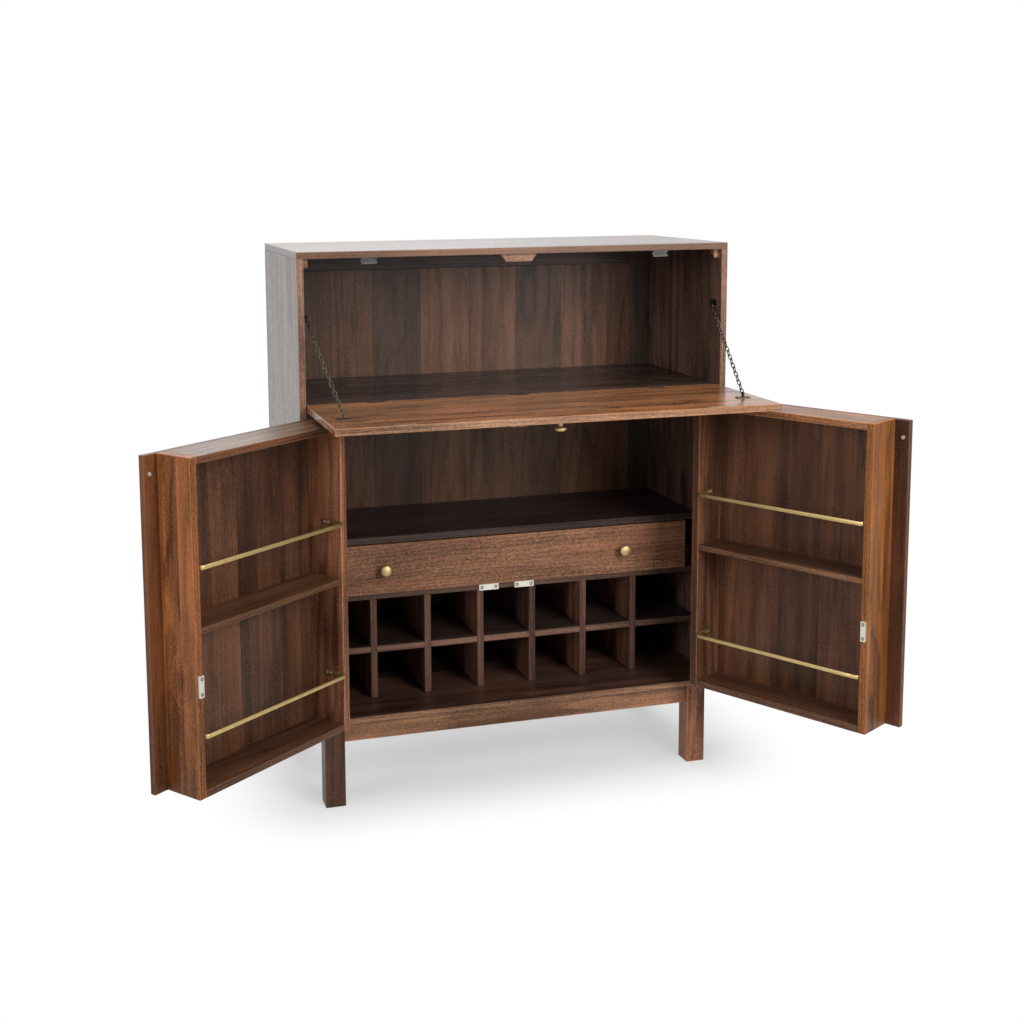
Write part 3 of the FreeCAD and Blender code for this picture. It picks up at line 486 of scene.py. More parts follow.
# Tones of the wood, as linear colour: case and back.
BODY = (0.215, 0.1, 0.054)
TOP = (0.115, 0.083, 0.068)
LEFT_SIDE = (0.13, 0.082, 0.062)
# The right side is darker than the left as painted shade on the bay's right wall.
RIGHT_SIDE_PAINTED_SHADE = (0.105, 0.06, 0.046)
EDGE = (0.25, 0.138, 0.09)
# The upper bay's floor is darker than the body as painted shade under the top.
BAY_PAINTED_SHADE = (0.047, 0.028, 0.024)
# The bottom panel's face is dark as painted shade inside the case; its front edge keeps the sill tone.
BOTTOM_PAINTED_SHADE = (0.066, 0.033, 0.024)
SILL = (0.3, 0.155, 0.088)
# The back's stiles and rails are dark as painted shade in the recess and under the top.
BACK_FRAME_PAINTED_SHADE = (0.052, 0.032, 0.025)
BACK = (0.11, 0.054, 0.032)
PALE = (0.27, 0.15, 0.092)

# Tones of the shelves, bottle rack, legs and flap.
# These two are painted shade on the shelves of the drawer space and the bottle rack, where little light
# reaches.
DARK_PAINTED_SHADE = (0.06, 0.034, 0.026)
PITCH_PAINTED_SHADE = (0.034, 0.021, 0.018)
DEEP = (0.09, 0.045, 0.03)
RACK_LIP = (0.13, 0.067, 0.045)
DIVIDER = (0.155, 0.075, 0.05)
# The front legs are one wood: the left one is darker as painted shade and the right one lighter as painted
# light.
LEFT_LEG_SHADED = (0.063, 0.03, 0.016)
RIGHT_LEG_LIT = (0.3, 0.131, 0.07)
REAR_LEG = (0.16, 0.074, 0.04)
# The front apron is lighter than the other aprons as painted light.
APRON_LIT = (0.28, 0.134, 0.068)
FLAP = (0.28, 0.119, 0.05)
OUTER_FACE = (0.165, 0.077, 0.043)

# Tones of the doors. Where a tone is kept by side, the same wood is lighter on one door as painted light
# and darker on the other as painted shade.
# The door panels' inner faces are dark as painted shade inside the bottle boxes; their outer faces take the
# outer-face tone.
DOOR_PANEL_PAINTED_SHADE = (0.096, 0.04, 0.02)
OVERHANG = (0.108, 0.038, 0.014)
# The door shelves and bottom boards are darker as painted shade inside the bottle boxes.
SHELF_PAINTED_SHADE = (0.092, 0.041, 0.022)
SHELF_FRONT_LIT_AND_SHADED = {"left": (0.11, 0.048, 0.021), "right": (0.138, 0.067, 0.035)}
LID_LIT_AND_SHADED = {"left": (0.13, 0.07, 0.041), "right": (0.27, 0.118, 0.052)}
LID_FRONT_LIT_AND_SHADED = {"left": (0.1, 0.04, 0.018), "right": (0.297, 0.124, 0.053)}
LATCH_LIT_AND_SHADED = {"left": (0.25, 0.089, 0.028), "right": (0.185, 0.068, 0.02)}
HINGE_LIT_AND_SHADED = {"left": (0.34, 0.148, 0.079), "right": (0.205, 0.09, 0.048)}
HINGE_FRONT_LIT_AND_SHADED = {"left": (0.3, 0.131, 0.07), "right": (0.085, 0.035, 0.018)}

# Boards with figure of their own. A painted shade falling along a board has the heights where it starts and
# is full, and its weight.
# A knot has its height, place across and size. A log has the number that it is drawn by.
HINGE_SHADE_FALL = {"left": (0.62, 0.45, 0.2), "right": (0.35, 0.85, 0.3)}
KNOT_INSIDE = 0.067
left_hinge, _, left_inwards = DOORS["left"]
LATCH_FIGURE = {
    "left": {
        "log": 44.0,
        "knot": (0.452, float(left_hinge @ left_inwards) + KNOT_INSIDE, 0.032),
        "heartwood": (0.56, 0.3, 0.26),
    },
    "right": {},
}
PANEL_FIGURE = {"left": {"log": 105.0}, "right": {}}
STAVE = 0.1247
BACK_STAVES = (0.25, 0.2, 0.52, 0.12, 0.88, 0.74, 0.3, 0.66, 0.5, 0.4)
DIVIDER_PITCH = 0.13


def band(node, axis, start, full):
    """A skin on a node's far side along an axis: it starts and is full at two depths under that side."""
    return axis, far(node, axis) - start, far(node, axis) - full


LIP_DEPTHS = (0.002, 0.0012)
FACE_DEPTHS = (0.0008, 0.0002)
BOX_DEPTHS = (0.001, 0.0002)
OVERHANG_DEPTHS = (0.0005, -0.0005)
CASE_FRONT = band("left_side_panel", -Y, *LIP_DEPTHS)
RACK_FRONT = band("rack_top_shelf", -Y, *LIP_DEPTHS)
FLAP_FRONT = band("flap_panel", -Y, *LIP_DEPTHS)
FLAP_FACE = band("flap_panel", -Z, *FACE_DEPTHS)


def stock(tone, width=0.3, spread=0.08, figure=1.0, ash=0.25, gloss=0.34, **more):
    """The wood of one board: its tone, the width and spread of its staves, the strength of its figure, the
    ash in dark staves and its gloss. More may change its flecks, rings and relief, or add a lip, a face, a
    log, layers of boards, picked shades, a painted shade falling along its height, or a knot."""
    wood = {"tone": tone, "width": width, "spread": spread, "figure": figure, "ash": ash, "gloss": gloss}
    return {**wood, "fleck": 0.4, "ring": 0.42, "relief": 0.4, **more}


CASE_STAVES = {"width": 0.11, "spread": 0.12}
top_wood = stock(
    TOP, width=0.11, spread=0.1, figure=0.4, gloss=0.16, relief=0.06, lip=(BODY, CASE_FRONT),
)
divider_wood = stock(DIVIDER, width=0.12, spread=0.15, lip=(DEEP, RACK_FRONT), layers=DIVIDER_PITCH)
flap_wood = stock(
    FLAP, width=0.1, spread=0.14, figure=0.9, gloss=0.15, relief=0.1,
    lip=(PALE, FLAP_FRONT), face=(OUTER_FACE, FLAP_FACE),
)

# Each board's grain, the way across it and its wood. Its number in this table is the seed of its draws.
BOARDS = {
    "top_panel": (X, Y, top_wood),
    "left_side_panel": (Z, Y, stock(LEFT_SIDE, **CASE_STAVES, gloss=0.18, lip=(EDGE, CASE_FRONT))),
    "right_side_panel": (Z, Y, stock(RIGHT_SIDE_PAINTED_SHADE, **CASE_STAVES, gloss=0.18, lip=(EDGE, CASE_FRONT))),
    "bay_floor": (X, Y, stock(BAY_PAINTED_SHADE, width=0.1, spread=0.16, gloss=0.24, relief=0.08)),
    "bottom_panel": (X, Y, stock(BOTTOM_PAINTED_SHADE, **CASE_STAVES, lip=(SILL, CASE_FRONT))),
    "back_stiles": (Z, X, stock(BACK_FRAME_PAINTED_SHADE)),
    "back_rails": (X, Z, stock(BACK_FRAME_PAINTED_SHADE)),
    "back_panel": (Z, X, stock(BACK, width=STAVE, spread=0.3, figure=0.9, ash=0.6, picks=BACK_STAVES)),
    "drawer_shelf": (X, Y, stock(PITCH_PAINTED_SHADE, width=0.1, lip=(DARK_PAINTED_SHADE, RACK_FRONT))),
    "rack_top_shelf": (X, Y, stock(DARK_PAINTED_SHADE, width=0.1, lip=(DEEP, RACK_FRONT))),
    "rack_middle_shelf": (X, Y, stock(PITCH_PAINTED_SHADE, width=0.1, lip=(RACK_LIP, RACK_FRONT))),
    "rack_dividers": (Z, Y, divider_wood),
    "front_left_leg": (Z, X, stock(LEFT_LEG_SHADED)),
    "front_right_leg": (Z, X, stock(RIGHT_LEG_LIT)),
    "rear_left_leg": (Z, X, stock(REAR_LEG)),
    "rear_right_leg": (Z, X, stock(REAR_LEG)),
    "front_apron": (X, Z, stock(APRON_LIT)),
    "rear_apron": (X, Z, stock(BODY)),
    "side_aprons": (Y, Z, stock(BODY)),
    "drawer_front": (X, Z, stock(BODY, figure=0.8, fleck=0.72)),
    "drawer_sides": (Y, Z, stock(BODY)),
    "drawer_back": (X, Z, stock(BODY)),
    "drawer_bottom": (X, Y, stock(BACK, width=0.12)),
    "drawer_guides": (Y, Z, stock(BODY)),
    "stop_blocks": (X, Z, stock(PALE)),
    "flap_panel": (X, Y, flap_wood),
}
for side, (_, along, inwards) in DOORS.items():
    door = f"{side}_door"
    overhang = (OVERHANG, band(f"{door}_latch_board", along, *OVERHANG_DEPTHS))
    outside = (OUTER_FACE, band(f"{door}_panel", -inwards, *FACE_DEPTHS))
    front = band(f"{door}_hinge_board", inwards, *BOX_DEPTHS)
    panel_wood = stock(
        DOOR_PANEL_PAINTED_SHADE, width=STAVE, spread=0.2, figure=1.1, ring=0.2, lip=overhang, face=outside,
        **PANEL_FIGURE[side],
    )
    hinge_wood = stock(HINGE_LIT_AND_SHADED[side], lip=(HINGE_FRONT_LIT_AND_SHADED[side], front), heartwood=HINGE_SHADE_FALL[side])
    latch_wood = stock(LATCH_LIT_AND_SHADED[side], width=0.045, spread=0.1, ash=0.0, **LATCH_FIGURE[side])
    shelf_wood = stock(SHELF_PAINTED_SHADE, lip=(SHELF_FRONT_LIT_AND_SHADED[side], front))
    BOARDS |= {
        f"{door}_panel": (Z, along, panel_wood),
        f"{door}_hinge_board": (Z, inwards, hinge_wood),
        f"{door}_latch_board": (Z, inwards, latch_wood),
        f"{door}_top_board": (along, inwards, stock(LID_LIT_AND_SHADED[side], gloss=0.3, lip=(LID_FRONT_LIT_AND_SHADED[side], front))),
        f"{door}_shelf": (along, inwards, shelf_wood),
        f"{door}_bottom_board": (along, inwards, shelf_wood),
    }

# Nodes of several boards, whose arrises stay sharp.
SEVERAL = {
    "back_stiles",
    "back_rails",
    "rack_dividers",
    "side_aprons",
    "drawer_sides",
    "drawer_guides",
    "stop_blocks",
}


def middle_and_half(node, axes):
    """Middle and half size of a node along its axes: half the sum and half the difference of its ends."""
    low, high = reach(node, axes)
    return (high + low) / 2, (high - low) / 2


def dress(node, material):
    """Gives a node one finish."""
    nodes[node].data.materials.clear()
    nodes[node].data.materials.append(material)


for number, (name, (grain, across, board)) in enumerate(BOARDS.items(), 1):
    edges = None if name in SEVERAL else middle_and_half(name, (grain, across, np.cross(grain, across)))
    dress(name, Walnut(f"walnut_{name}", grain, across, board, float(number), edges).material)

brass = metal("aged_brass", (0.6, 0.44, 0.19), (0.4, 0.29, 0.13), rough=0.34, mottle=0.6)
knob_brass = metal("dull_brass", (0.56, 0.41, 0.19), (0.4, 0.28, 0.15), rough=0.5, mottle=0.7)
bronze = metal("dark_bronze", (0.1, 0.083, 0.066), (0.04, 0.033, 0.027), rough=0.36, mottle=0.8)
black_bronze = metal("black_bronze", (0.05, 0.04, 0.032), (0.028, 0.023, 0.02), rough=0.6, mottle=0.8)
brown_bronze = metal("brown_bronze", (0.5, 0.36, 0.24), (0.34, 0.24, 0.16), rough=0.4, mottle=0.6)
zinc = metal("bright_zinc", (0.66, 0.63, 0.55), (0.5, 0.47, 0.4), rough=0.42, mottle=0.4)
grey_steel = metal("grey_steel", (0.075, 0.073, 0.07), (0.04, 0.039, 0.038), rough=0.45, mottle=0.6)
nickel = metal("bright_nickel", (0.92, 0.89, 0.8), (0.8, 0.76, 0.66), rough=0.3, mottle=0.4)
screw_steel = metal("blackened_screws", (0.045, 0.039, 0.034), (0.02, 0.018, 0.016), rough=0.5, mottle=0.6)
grey_felt = plain("grey_felt", (0.36, 0.32, 0.28), 0.85)
FITTINGS = {
    black_bronze: ["flap_hinge_fixed_leaves", "flap_hinge_moving_leaves"],
    bronze: [
        "door_hinge_case_leaves",
        "left_door_hinge_leaves",
        "right_door_hinge_leaves",
        "chain_wall_plates",
        "chain_flap_plates",
    ],
    zinc: ["door_strike_plates", "left_door_catch", "right_door_catch"],
    grey_steel: ["flap_catches"],
    brown_bronze: ["flap_strike_plates"],
    grey_felt: ["left_door_bumper", "right_door_bumper"],
}
for material, names in FITTINGS.items():
    for name in names:
        dress(name, material)

# Added pieces.


def surface(name, grids, material, body):
    """One object made of closed grids: each grid is an array of rows, columns and xyz, joined in quads.

    A grid wraps along its columns, and along its rows where its flag says so. Otherwise a face closes its
    first and its last row. Where the sum of the signed volumes under the quads is negative, the faces are
    turned round.
    """
    points, faces, start = [], [], 0
    for grid, ring in grids:
        rows, columns = grid.shape[:2]
        flat = grid.reshape(-1, 3)
        index = np.arange(rows * columns).reshape(rows, columns)
        ends = [] if ring else [index[0, ::-1], index[-1]]
        if ring:
            index = np.vstack((index, index[:1]))
        index = np.hstack((index, index[:, :1]))
        corners = (index[:-1, :-1], index[:-1, 1:], index[1:, 1:], index[1:, :-1])
        quads = np.stack(corners, axis=-1).reshape(-1, 4)
        a, b, c, d = np.moveaxis(flat[quads] - flat.mean(0), 1, 0)
        way = -1 if (np.cross(a, b) * c + np.cross(a, c) * d).sum() < 0 else 1
        faces += (start + quads[:, ::way]).tolist() + [(start + end[::way]).tolist() for end in ends]
        points.append(flat)
        start += rows * columns
    mesh = bpy.data.meshes.new(name)
    mesh.from_pydata(np.vstack(points).tolist(), [], faces)
    mesh.polygons.foreach_set("use_smooth", np.ones(len(mesh.polygons), dtype=bool))
    mesh.materials.append(material)
    piece = bpy.data.objects.new(name, mesh)
    scene.collection.objects.link(piece)
    if body:
        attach(piece, body)
    return piece


STEEP = 0.9


def basis(normal):
    """Two directions square to a normal and to each other, and the normal itself at unit length. The first
    is level, or square to +X where the normal is steep."""
    normal = np.asarray(normal, float) / np.linalg.norm(normal)
    helper = X if abs(normal[2]) > STEEP else Z
    first = np.cross(helper, normal)
    first /= np.linalg.norm(first)
    return first, np.cross(normal, first), normal


def round_angles(count):
    """Equal angles once round."""
    return np.linspace(0, 2 * np.pi, count, endpoint=False)


# Knobs. Arcs of the profile are in degrees.
KNOB_SIDES = 48
KNOB_TIP = 0.00002
KNOB_NECK = 0.006
NECK_LENGTH = 0.01
KNOB_HOLLOW = 0.0062
RIM_WIDTH = 0.0018
RIM_HEIGHT = 0.0024
DOME_HEIGHT = 0.0068
KNOB_LENGTH = 0.026
HOLLOW_ARC = (178, 92)
RIM_ARC = (270, 360)
DOME_ARC = (4, 89.9)
HOLLOW_POINTS = 10
RIM_POINTS = 6
DOME_POINTS = 16
DRAWER_KNOB_X = (-0.298, 0.298)
DRAWER_MIDDLE = 0.51255
DRAWER_FACE = -far("drawer_front", -Y)
FLAP_KNOB_Y = -0.473
FLAP_LOW = -far("flap_panel", -Z)
FLAP_TOP = far("flap_panel", Z)


def turned(profile, centre, normal):
    """A turned solid: a profile of radius and height is carried round an axis through the centre."""
    first, second, up = basis(normal)
    angle = round_angles(KNOB_SIDES)
    spoke = np.cos(angle)[:, None] * first + np.sin(angle)[:, None] * second
    radius, height = np.array(profile).T
    return np.asarray(centre) + radius[:, None, None] * spoke[None] + height[:, None, None] * up


def arc(centre, radii, start, end, count):
    """Points of an elliptic arc in a profile, from its centre, two radii and two angles in degrees."""
    angle = np.radians(np.linspace(start, end, count))
    return [(centre[0] + radii[0] * math.cos(a), centre[1] + radii[1] * math.sin(a)) for a in angle]


def knob_profile():
    """Neck, hollowed shoulder, rim and flat domed head of a knob, as radius and height from its base."""
    rim = KNOB_NECK + KNOB_HOLLOW
    rim_middle = NECK_LENGTH + KNOB_HOLLOW + RIM_HEIGHT
    profile = [(KNOB_TIP, 0.0), (KNOB_NECK, 0.0), (KNOB_NECK, NECK_LENGTH)]
    profile += arc((rim, NECK_LENGTH), (KNOB_HOLLOW, KNOB_HOLLOW), *HOLLOW_ARC, HOLLOW_POINTS)
    profile += arc((rim, rim_middle), (RIM_WIDTH, RIM_HEIGHT), *RIM_ARC, RIM_POINTS)
    dome_low = KNOB_LENGTH - DOME_HEIGHT
    profile += arc((0.0, dome_low), (rim + RIM_WIDTH, DOME_HEIGHT), *DOME_ARC, DOME_POINTS)
    return profile + [(KNOB_TIP, KNOB_LENGTH)]


# Screw heads, as shares of their radius.
HEAD_ROWS = (0.001, 0.12, 0.2, 0.28, 0.4, 0.52, 0.6, 0.7, 0.84, 0.94, 1.0, 1.0)
HEAD_SIDES = 32
HEAD_DOME = 0.16
HEAD_FOOT = -0.1
CROSS_WIDTH = 0.16
CROSS_REACH = 0.65
CROSS_DEPTH = 0.22


def screw_heads(name, places, radius, material, body):
    """Countersunk screw heads: a shallow dome on a polar grid, with a cross cut into it where either
    in-plane coordinate is small."""
    grids = []
    share = np.array(HEAD_ROWS)
    angle = round_angles(HEAD_SIDES)
    height = HEAD_DOME * (1 - share**2)
    height[-1] = HEAD_FOOT
    flat_x = share[:, None] * np.cos(angle)[None] * radius
    flat_y = share[:, None] * np.sin(angle)[None] * radius
    narrow = np.minimum(np.abs(flat_x), np.abs(flat_y)) < CROSS_WIDTH * radius
    cut = narrow & (share[:, None] < CROSS_REACH)
    relief = (height[:, None] - CROSS_DEPTH * cut) * radius
    for centre, normal in places:
        first, second, up = basis(normal)
        grid = flat_x[..., None] * first + flat_y[..., None] * second + relief[..., None] * up
        grids.append((np.asarray(centre) + grid, False))
    return surface(name, grids, material, body)


# Chains. The lug holes are those of the right side.
WALL_HOLE = (0.485, -0.183, 1.1144)
FLAP_HOLE = (0.4515, -0.416088, 0.931)
LINK_COUNT = 22
LINK_SIDES = 24
WIRE = 0.0024
WIRE_SIDES = 10
LINK_BEND = 0.0035
LINK_PLAY = 0.00015
LINK_SEAT = 0.0009


def chain_links(name, sign):
    """Chain: each link is a round wire carried round a racetrack, two half circles joined by straight runs,
    and every second link is turned a quarter about the line between the lug holes."""
    wall = np.array(WALL_HOLE) * (sign, 1.0, 1.0)
    flap = np.array(FLAP_HOLE) * (sign, 1.0, 1.0)
    along = (flap - wall) / np.linalg.norm(flap - wall)
    wall, flap = wall + LINK_SEAT * along, flap - LINK_SEAT * along
    overlap = WIRE + LINK_PLAY
    link_length = (np.linalg.norm(flap - wall) + (LINK_COUNT - 1) * overlap) / LINK_COUNT
    upright = np.cross(along, X)
    upright /= np.linalg.norm(upright)
    level = np.cross(upright, along)
    turn = round_angles(LINK_SIDES) + np.pi / LINK_SIDES
    round_wire = round_angles(WIRE_SIDES)
    outwards = np.stack((np.cos(turn), np.sin(turn)), axis=1)
    end = np.sign(outwards[:, 0]) * (link_length / 2 - LINK_BEND)
    size = LINK_BEND + WIRE / 2 * np.cos(round_wire)
    long = end[:, None] + outwards[:, :1] * size[None]
    broad = outwards[:, 1:] * size[None]
    thick = np.broadcast_to(WIRE / 2 * np.sin(round_wire), long.shape)
    grids = []
    for number in range(LINK_COUNT):
        breadth = level if number % 2 else upright
        centre = wall + along * (link_length / 2 + number * (link_length - overlap))
        depth = np.cross(along, breadth)
        link = centre + long[..., None] * along + broad[..., None] * breadth + thick[..., None] * depth
        grids.append((link, True))
    piece = surface(name, grids, bronze, None)
    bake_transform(piece)
    return piece


# Gallery rails, in a door's own axes.
RAIL_LEVELS = (0.6805, 0.344)
RAIL_START = 0.0205
RAIL_END = 0.4375
RAIL_FOOT = 0.0555
RAIL_FACE = 0.1135
RAIL_BEND = 0.0045
FOOT_HALF = 0.00125
BAR_HALF = 0.0021
BAR_RISE = 0.0045
FOOT_SPREAD = 0.003
RAIL_SIDES = 28
RAIL_ROUND = 0.85
RAIL_TIP = 0.001
FOOT_ROWS = 8
BEND_ROWS = 9
BAR_ROWS = 5


def gallery_rails(name, side):
    """Two bent brass rods: an oval section is carried along a path up one end, round a quarter bend, across
    the front, round a second bend and down the other end. The section's height grows evenly from the bend
    to each foot, and its thickness from the foot to the bar. The second half of the path is the first one
    mirrored."""
    hinge, along, inwards = DOORS[side]
    foot_line = RAIL_START + FOOT_HALF
    bar_line = RAIL_FACE - BAR_HALF
    bend_start = bar_line - RAIL_BEND
    angle = np.linspace(np.pi, np.pi / 2, BEND_ROWS + 1)[1:]
    run = np.linspace(foot_line + RAIL_BEND, (RAIL_START + RAIL_END) / 2, BAR_ROWS + 1)[1:]
    bent_out = foot_line + RAIL_BEND + RAIL_BEND * np.cos(angle)
    bent_in = bend_start + RAIL_BEND * np.sin(angle)
    foot = np.linspace(RAIL_FOOT, bend_start, FOOT_ROWS)
    out = np.concatenate((np.full(FOOT_ROWS, foot_line), bent_out, run))
    inside = np.concatenate((foot, bent_in, np.full(BAR_ROWS, bar_line)))
    heading = np.concatenate((np.full(FOOT_ROWS, np.pi), angle, np.full(BAR_ROWS, np.pi / 2)))
    thick = np.interp(heading, (np.pi / 2, np.pi), (BAR_HALF, FOOT_HALF))
    tall = BAR_RISE + FOOT_SPREAD * np.clip((bend_start - inside) / (bend_start - RAIL_FOOT), 0.0, 1.0)
    first_half = np.column_stack((out, inside, np.cos(heading), np.sin(heading), thick, tall))
    second_half = first_half[-2::-1] * (-1, 1, -1, 1, 1, 1) + (RAIL_START + RAIL_END, 0, 0, 0, 0, 0)
    path = np.vstack((first_half[:1], first_half, second_half, second_half[-1:]))
    path[[0, -1], 4:] *= RAIL_TIP
    out, inside, out_way, in_way, thick, tall = path.T[..., None]
    around = round_angles(RAIL_SIDES)
    oval_x = np.sign(np.cos(around)) * np.abs(np.cos(around)) ** RAIL_ROUND
    oval_z = np.sign(np.sin(around)) * np.abs(np.sin(around)) ** RAIL_ROUND
    off = thick * oval_x
    skin_out = (out + out_way * off)[..., None]
    skin_in = (inside + in_way * off)[..., None]
    flat = hinge + skin_out * along + skin_in * inwards
    grids = [(flat + (level + tall * oval_z)[..., None] * Z, False) for level in RAIL_LEVELS]
    return surface(name, grids, brass, f"{side}_door")


for side, sign in SIDES.items():
    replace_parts(chain_links(f"{side}_chain_links", sign), f"{side}_chain")
    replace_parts(gallery_rails(f"{side}_brass_rails", side), f"{side}_door_gallery_rails")

drawer_knobs = [(turned(knob_profile(), (x, DRAWER_FACE, DRAWER_MIDDLE), -Y), False) for x in DRAWER_KNOB_X]
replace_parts(surface("turned_drawer_knobs", drawer_knobs, knob_brass, "case"), "drawer_knobs")
flap_knob = [(turned(knob_profile(), (0.0, FLAP_KNOB_Y, FLAP_LOW), -Z), False)]
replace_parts(surface("turned_flap_knob", flap_knob, knob_brass, "flap"), "flap_knob")

# Screws: radius of their heads, and where they sit in each fitting.
SMALL_HEAD = 0.0022
RAIL_HEAD = 0.003
CATCH_HEAD = 0.0036
STRIKE_HEAD = 0.0042
FLAP_HINGE_X = (-0.336, 0.0, 0.336)
FIXED_LEAF_Y = -0.197
MOVING_LEAF_Y = -0.213
LEAF_SCREWS = (-0.012, 0.012)
PLATE_SCREWS = (-0.0105, 0.0105)
STRIKE_SCREWS = (-0.0175, 0.0175)
WALL_PLATE_X = 0.491
FLAP_PLATE_TOP = 0.925
FLAP_STRIKE_X = 0.345
FLAP_STRIKE_Y = -0.5115
DOOR_STRIKE_X = 0.044
DOOR_STRIKE_FACE = -far("door_strike_plates", -Y)
DOOR_STRIKE_Z = 0.448
RAIL_SCREWS = (0.061, 0.0715)
FOOT_FACES = (0.023, 0.435)
CATCH_MIDDLE = 0.4465
CATCH_FACE = 0.113
CATCH_SCREWS = (0.4325, 0.4635)

wall_y, wall_z = WALL_HOLE[1:]
flap_hole_x, flap_hole_y = FLAP_HOLE[:2]
case_screws = [((x + dx, FIXED_LEAF_Y, FLAP_TOP), Z) for x in FLAP_HINGE_X for dx in LEAF_SCREWS]
strike_screws = []
flap_screws = [((x + dx, MOVING_LEAF_Y, FLAP_TOP), Z) for x in FLAP_HINGE_X for dx in LEAF_SCREWS]
for sign in SIDES.values():
    case_screws += [((sign * WALL_PLATE_X, wall_y + dy, wall_z), -sign * X) for dy in PLATE_SCREWS]
    flap_screws += [((sign * flap_hole_x + dx, flap_hole_y, FLAP_PLATE_TOP), Z) for dx in PLATE_SCREWS]
    flap_screws += [((sign * FLAP_STRIKE_X + dx, FLAP_STRIKE_Y, FLAP_TOP), Z) for dx in STRIKE_SCREWS]
    for dx in STRIKE_SCREWS:
        strike_screws.append(((sign * DOOR_STRIKE_X + dx, DOOR_STRIKE_FACE, DOOR_STRIKE_Z), -Y))
flap_screws.append(((0.0, FLAP_KNOB_Y, FLAP_TOP), Z))
screw_heads("case_fitting_screws", case_screws, SMALL_HEAD, screw_steel, "case")
screw_heads("strike_screws", strike_screws, STRIKE_HEAD, screw_steel, "case")
screw_heads("flap_fitting_screws", flap_screws, SMALL_HEAD, screw_steel, "flap")
for side, (_, along, inwards) in DOORS.items():
    rail_screws = []
    for z in RAIL_LEVELS:
        for inside in RAIL_SCREWS:
            for out, normal in zip(FOOT_FACES, (along, -along)):
                rail_screws.append((door_point(side, out, inside, z), normal))
    screw_heads(f"{side}_rail_screws", rail_screws, RAIL_HEAD, nickel, f"{side}_door")
    catch_screws = [(door_point(side, CATCH_MIDDLE, CATCH_FACE, z), inwards) for z in CATCH_SCREWS]
    screw_heads(f"{side}_catch_screws", catch_screws, CATCH_HEAD, screw_steel, f"{side}_door")

# Stage.
FLOOR_GREY = 0.62
FLOOR_REACH = 14.0
SHADOW_HALVES = ((X, 0.45), (Y, 0.13))
SHADOW_FADE = 0.3
SHADOW_WHITE = 0.52
ROOM_LIGHT = 0.07


def seen_rays(tree):
    """The largest of three flags: rays from the camera, off gloss and through glass."""
    path = tree.nodes.new("ShaderNodeLightPath").outputs
    seen = path["Is Camera Ray"]
    for flag in ("Is Glossy Ray", "Is Transmission Ray"):
        largest = tree.nodes.new("ShaderNodeMath")
        largest.operation = "MAXIMUM"
        tree.links.new(seen, largest.inputs[0])
        tree.links.new(path[flag], largest.inputs[1])
        seen = largest.outputs[0]
    return seen


def studio_floor():
    """A pale floor: it takes the object's shadow near the middle and turns plain white with the distance
    from a rectangle there."""
    look = Finish("pale_floor")
    look.shader.inputs["Base Color"].default_value = (FLOOR_GREY, FLOOR_GREY, FLOOR_GREY, 1.0)
    look.shader.inputs["Roughness"].default_value = 1.0
    look.shader.inputs["Specular IOR Level"].default_value = 0.0
    place = look.place()
    outside = []
    for axis, half in SHADOW_HALVES:
        past = look.minus(look.maths("ABSOLUTE", look.dot(place, axis)), half)
        outside.append(look.maths("MAXIMUM", past, 0.0))
    white = look.remap(look.span(*outside), 0.0, SHADOW_FADE, SHADOW_WHITE, 1.0, smooth=True)
    glow = look.add("ShaderNodeEmission")
    join = look.add("ShaderNodeMixShader")
    look.feed(join.inputs[0], look.times(white, seen_rays(look.tree)))
    look.feed(join.inputs[1], look.shader.outputs[0])
    look.feed(join.inputs[2], glow.outputs[0])
    look.feed(look.tree.nodes["Material Output"].inputs["Surface"], join.outputs[0])
    corners = [(x * FLOOR_REACH, y * FLOOR_REACH, 0.0) for x, y in ((-1, -1), (1, -1), (1, 1), (-1, 1))]
    mesh = bpy.data.meshes.new("studio_floor")
    mesh.from_pydata(corners, [], [(0, 1, 2, 3)])
    mesh.materials.append(look.material)
    piece = bpy.data.objects.new("studio_floor", mesh)
    scene.collection.objects.link(piece)


def stand(name, data, axes, place):
    """Puts a lamp or a lens at a place, with three axes as the columns of its turn."""
    piece = bpy.data.objects.new(name, data)
    scene.collection.objects.link(piece)
    columns = np.column_stack((*axes, place))
    piece.matrix_world = Matrix(np.vstack((columns, (0, 0, 0, 1))).tolist())
    return piece


def soft_light(name, place, aim, size, power):
    """A square soft light at a place, turned towards a point."""
    lamp = bpy.data.lights.new(name, "AREA")
    lamp.size = size
    lamp.energy = power
    stand(name, lamp, basis(np.subtract(place, aim)), place)


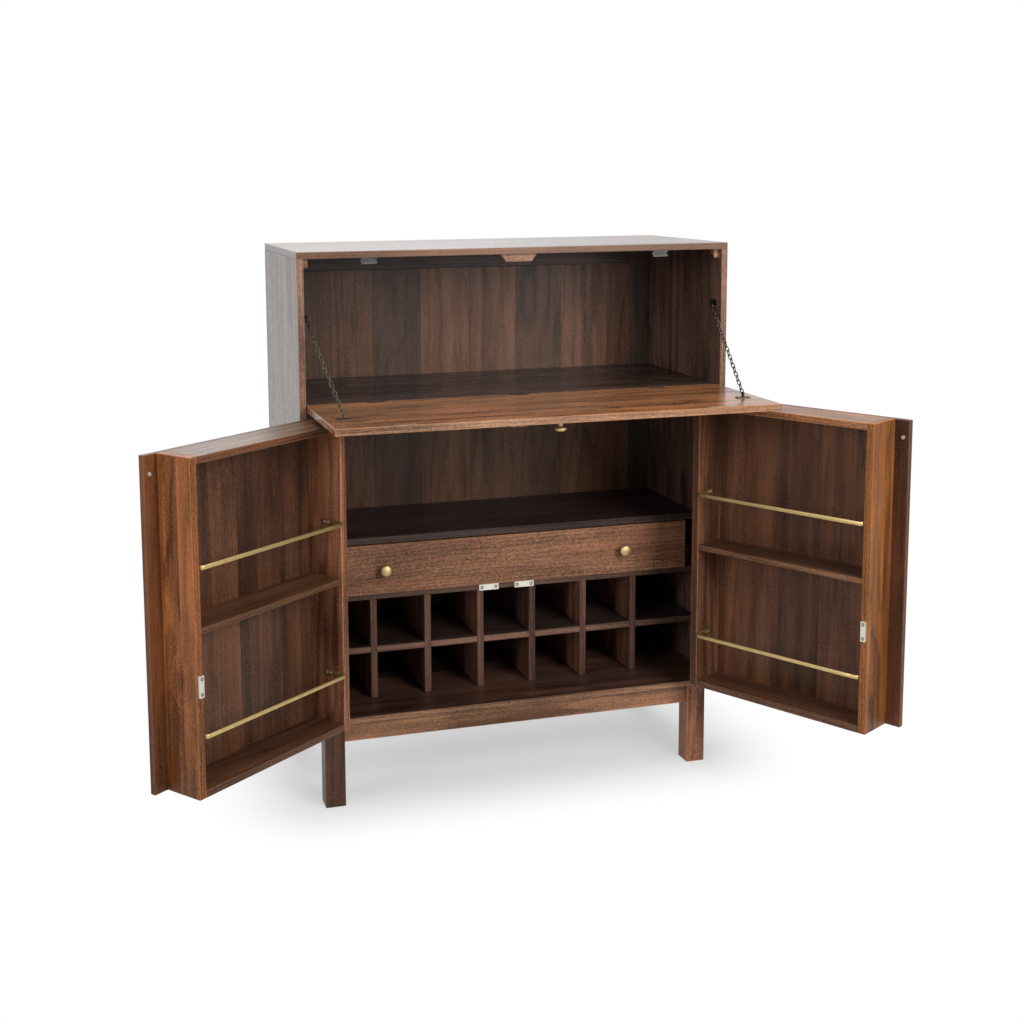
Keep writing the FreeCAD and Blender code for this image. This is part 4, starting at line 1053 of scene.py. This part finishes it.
def white_room():
    """Plain light from all round. What the camera and gloss see of it is white."""
    world = bpy.data.worlds.new("white_room")
    world.use_nodes = True
    tree = world.node_tree
    ground = tree.nodes["Background"]
    ground.inputs["Color"].default_value = (1.0, 1.0, 1.0, 1.0)
    level = tree.nodes.new("ShaderNodeMapRange")
    level.inputs["To Min"].default_value = ROOM_LIGHT
    level.inputs["To Max"].default_value = 1.0
    tree.links.new(seen_rays(tree), level.inputs["Value"])
    tree.links.new(level.outputs[0], ground.inputs["Strength"])
    scene.world = world


# The photograph's camera: angles in radians, the focal length and the middle of the view in pixels.
IMAGE = 1024
SENSOR = 36.0
YAW = 0.2752
PITCH_DOWN = 0.1335
ROLL = -0.0085
FOCAL_PIXELS = 1440.34
MIDDLE_X = 444.62
MIDDLE_Y = 366.06
CAMERA_PLACE = (-1.04285, -3.27521, 1.42343)


def photo_camera():
    """The camera at the photograph's place: it looks along a yaw from +Y and a pitch below the horizon,
    with a small roll. Its lens is the focal length in pixels over the image width, times the sensor."""
    level = np.array((math.sin(YAW), math.cos(YAW), 0.0))
    forward = math.cos(PITCH_DOWN) * level - math.sin(PITCH_DOWN) * Z
    right = np.array((math.cos(YAW), -math.sin(YAW), 0.0))
    down = np.cross(forward, right)
    across = math.cos(ROLL) * right - math.sin(ROLL) * down
    upwards = -(math.sin(ROLL) * right + math.cos(ROLL) * down)
    lens = bpy.data.cameras.new("photo_camera")
    lens.sensor_width = SENSOR
    lens.lens = FOCAL_PIXELS / IMAGE * SENSOR
    lens.shift_x = (IMAGE / 2 - MIDDLE_X) / IMAGE
    lens.shift_y = (MIDDLE_Y - IMAGE / 2) / IMAGE
    scene.camera = stand("photo_camera", lens, (across, upwards, -forward), CAMERA_PLACE)


CASE_MIDDLE = (0.0, 0.0, 0.7)
studio_floor()
soft_light("front_light", (1.1, -2.8, 1.85), CASE_MIDDLE, size=1.4, power=73.0)
soft_light("left_light", (-3.6, -2.2, 1.9), CASE_MIDDLE, size=2.0, power=72.0)
soft_light("top_light", (0.0, -0.6, 4.3), (0.0, -0.2, 0.6), size=2.4, power=80.0)
soft_light("back_light", (0.4, 3.2, 3.4), CASE_MIDDLE, size=1.6, power=80.0)
white_room()
photo_camera()
scene.view_settings.view_transform = "Standard"
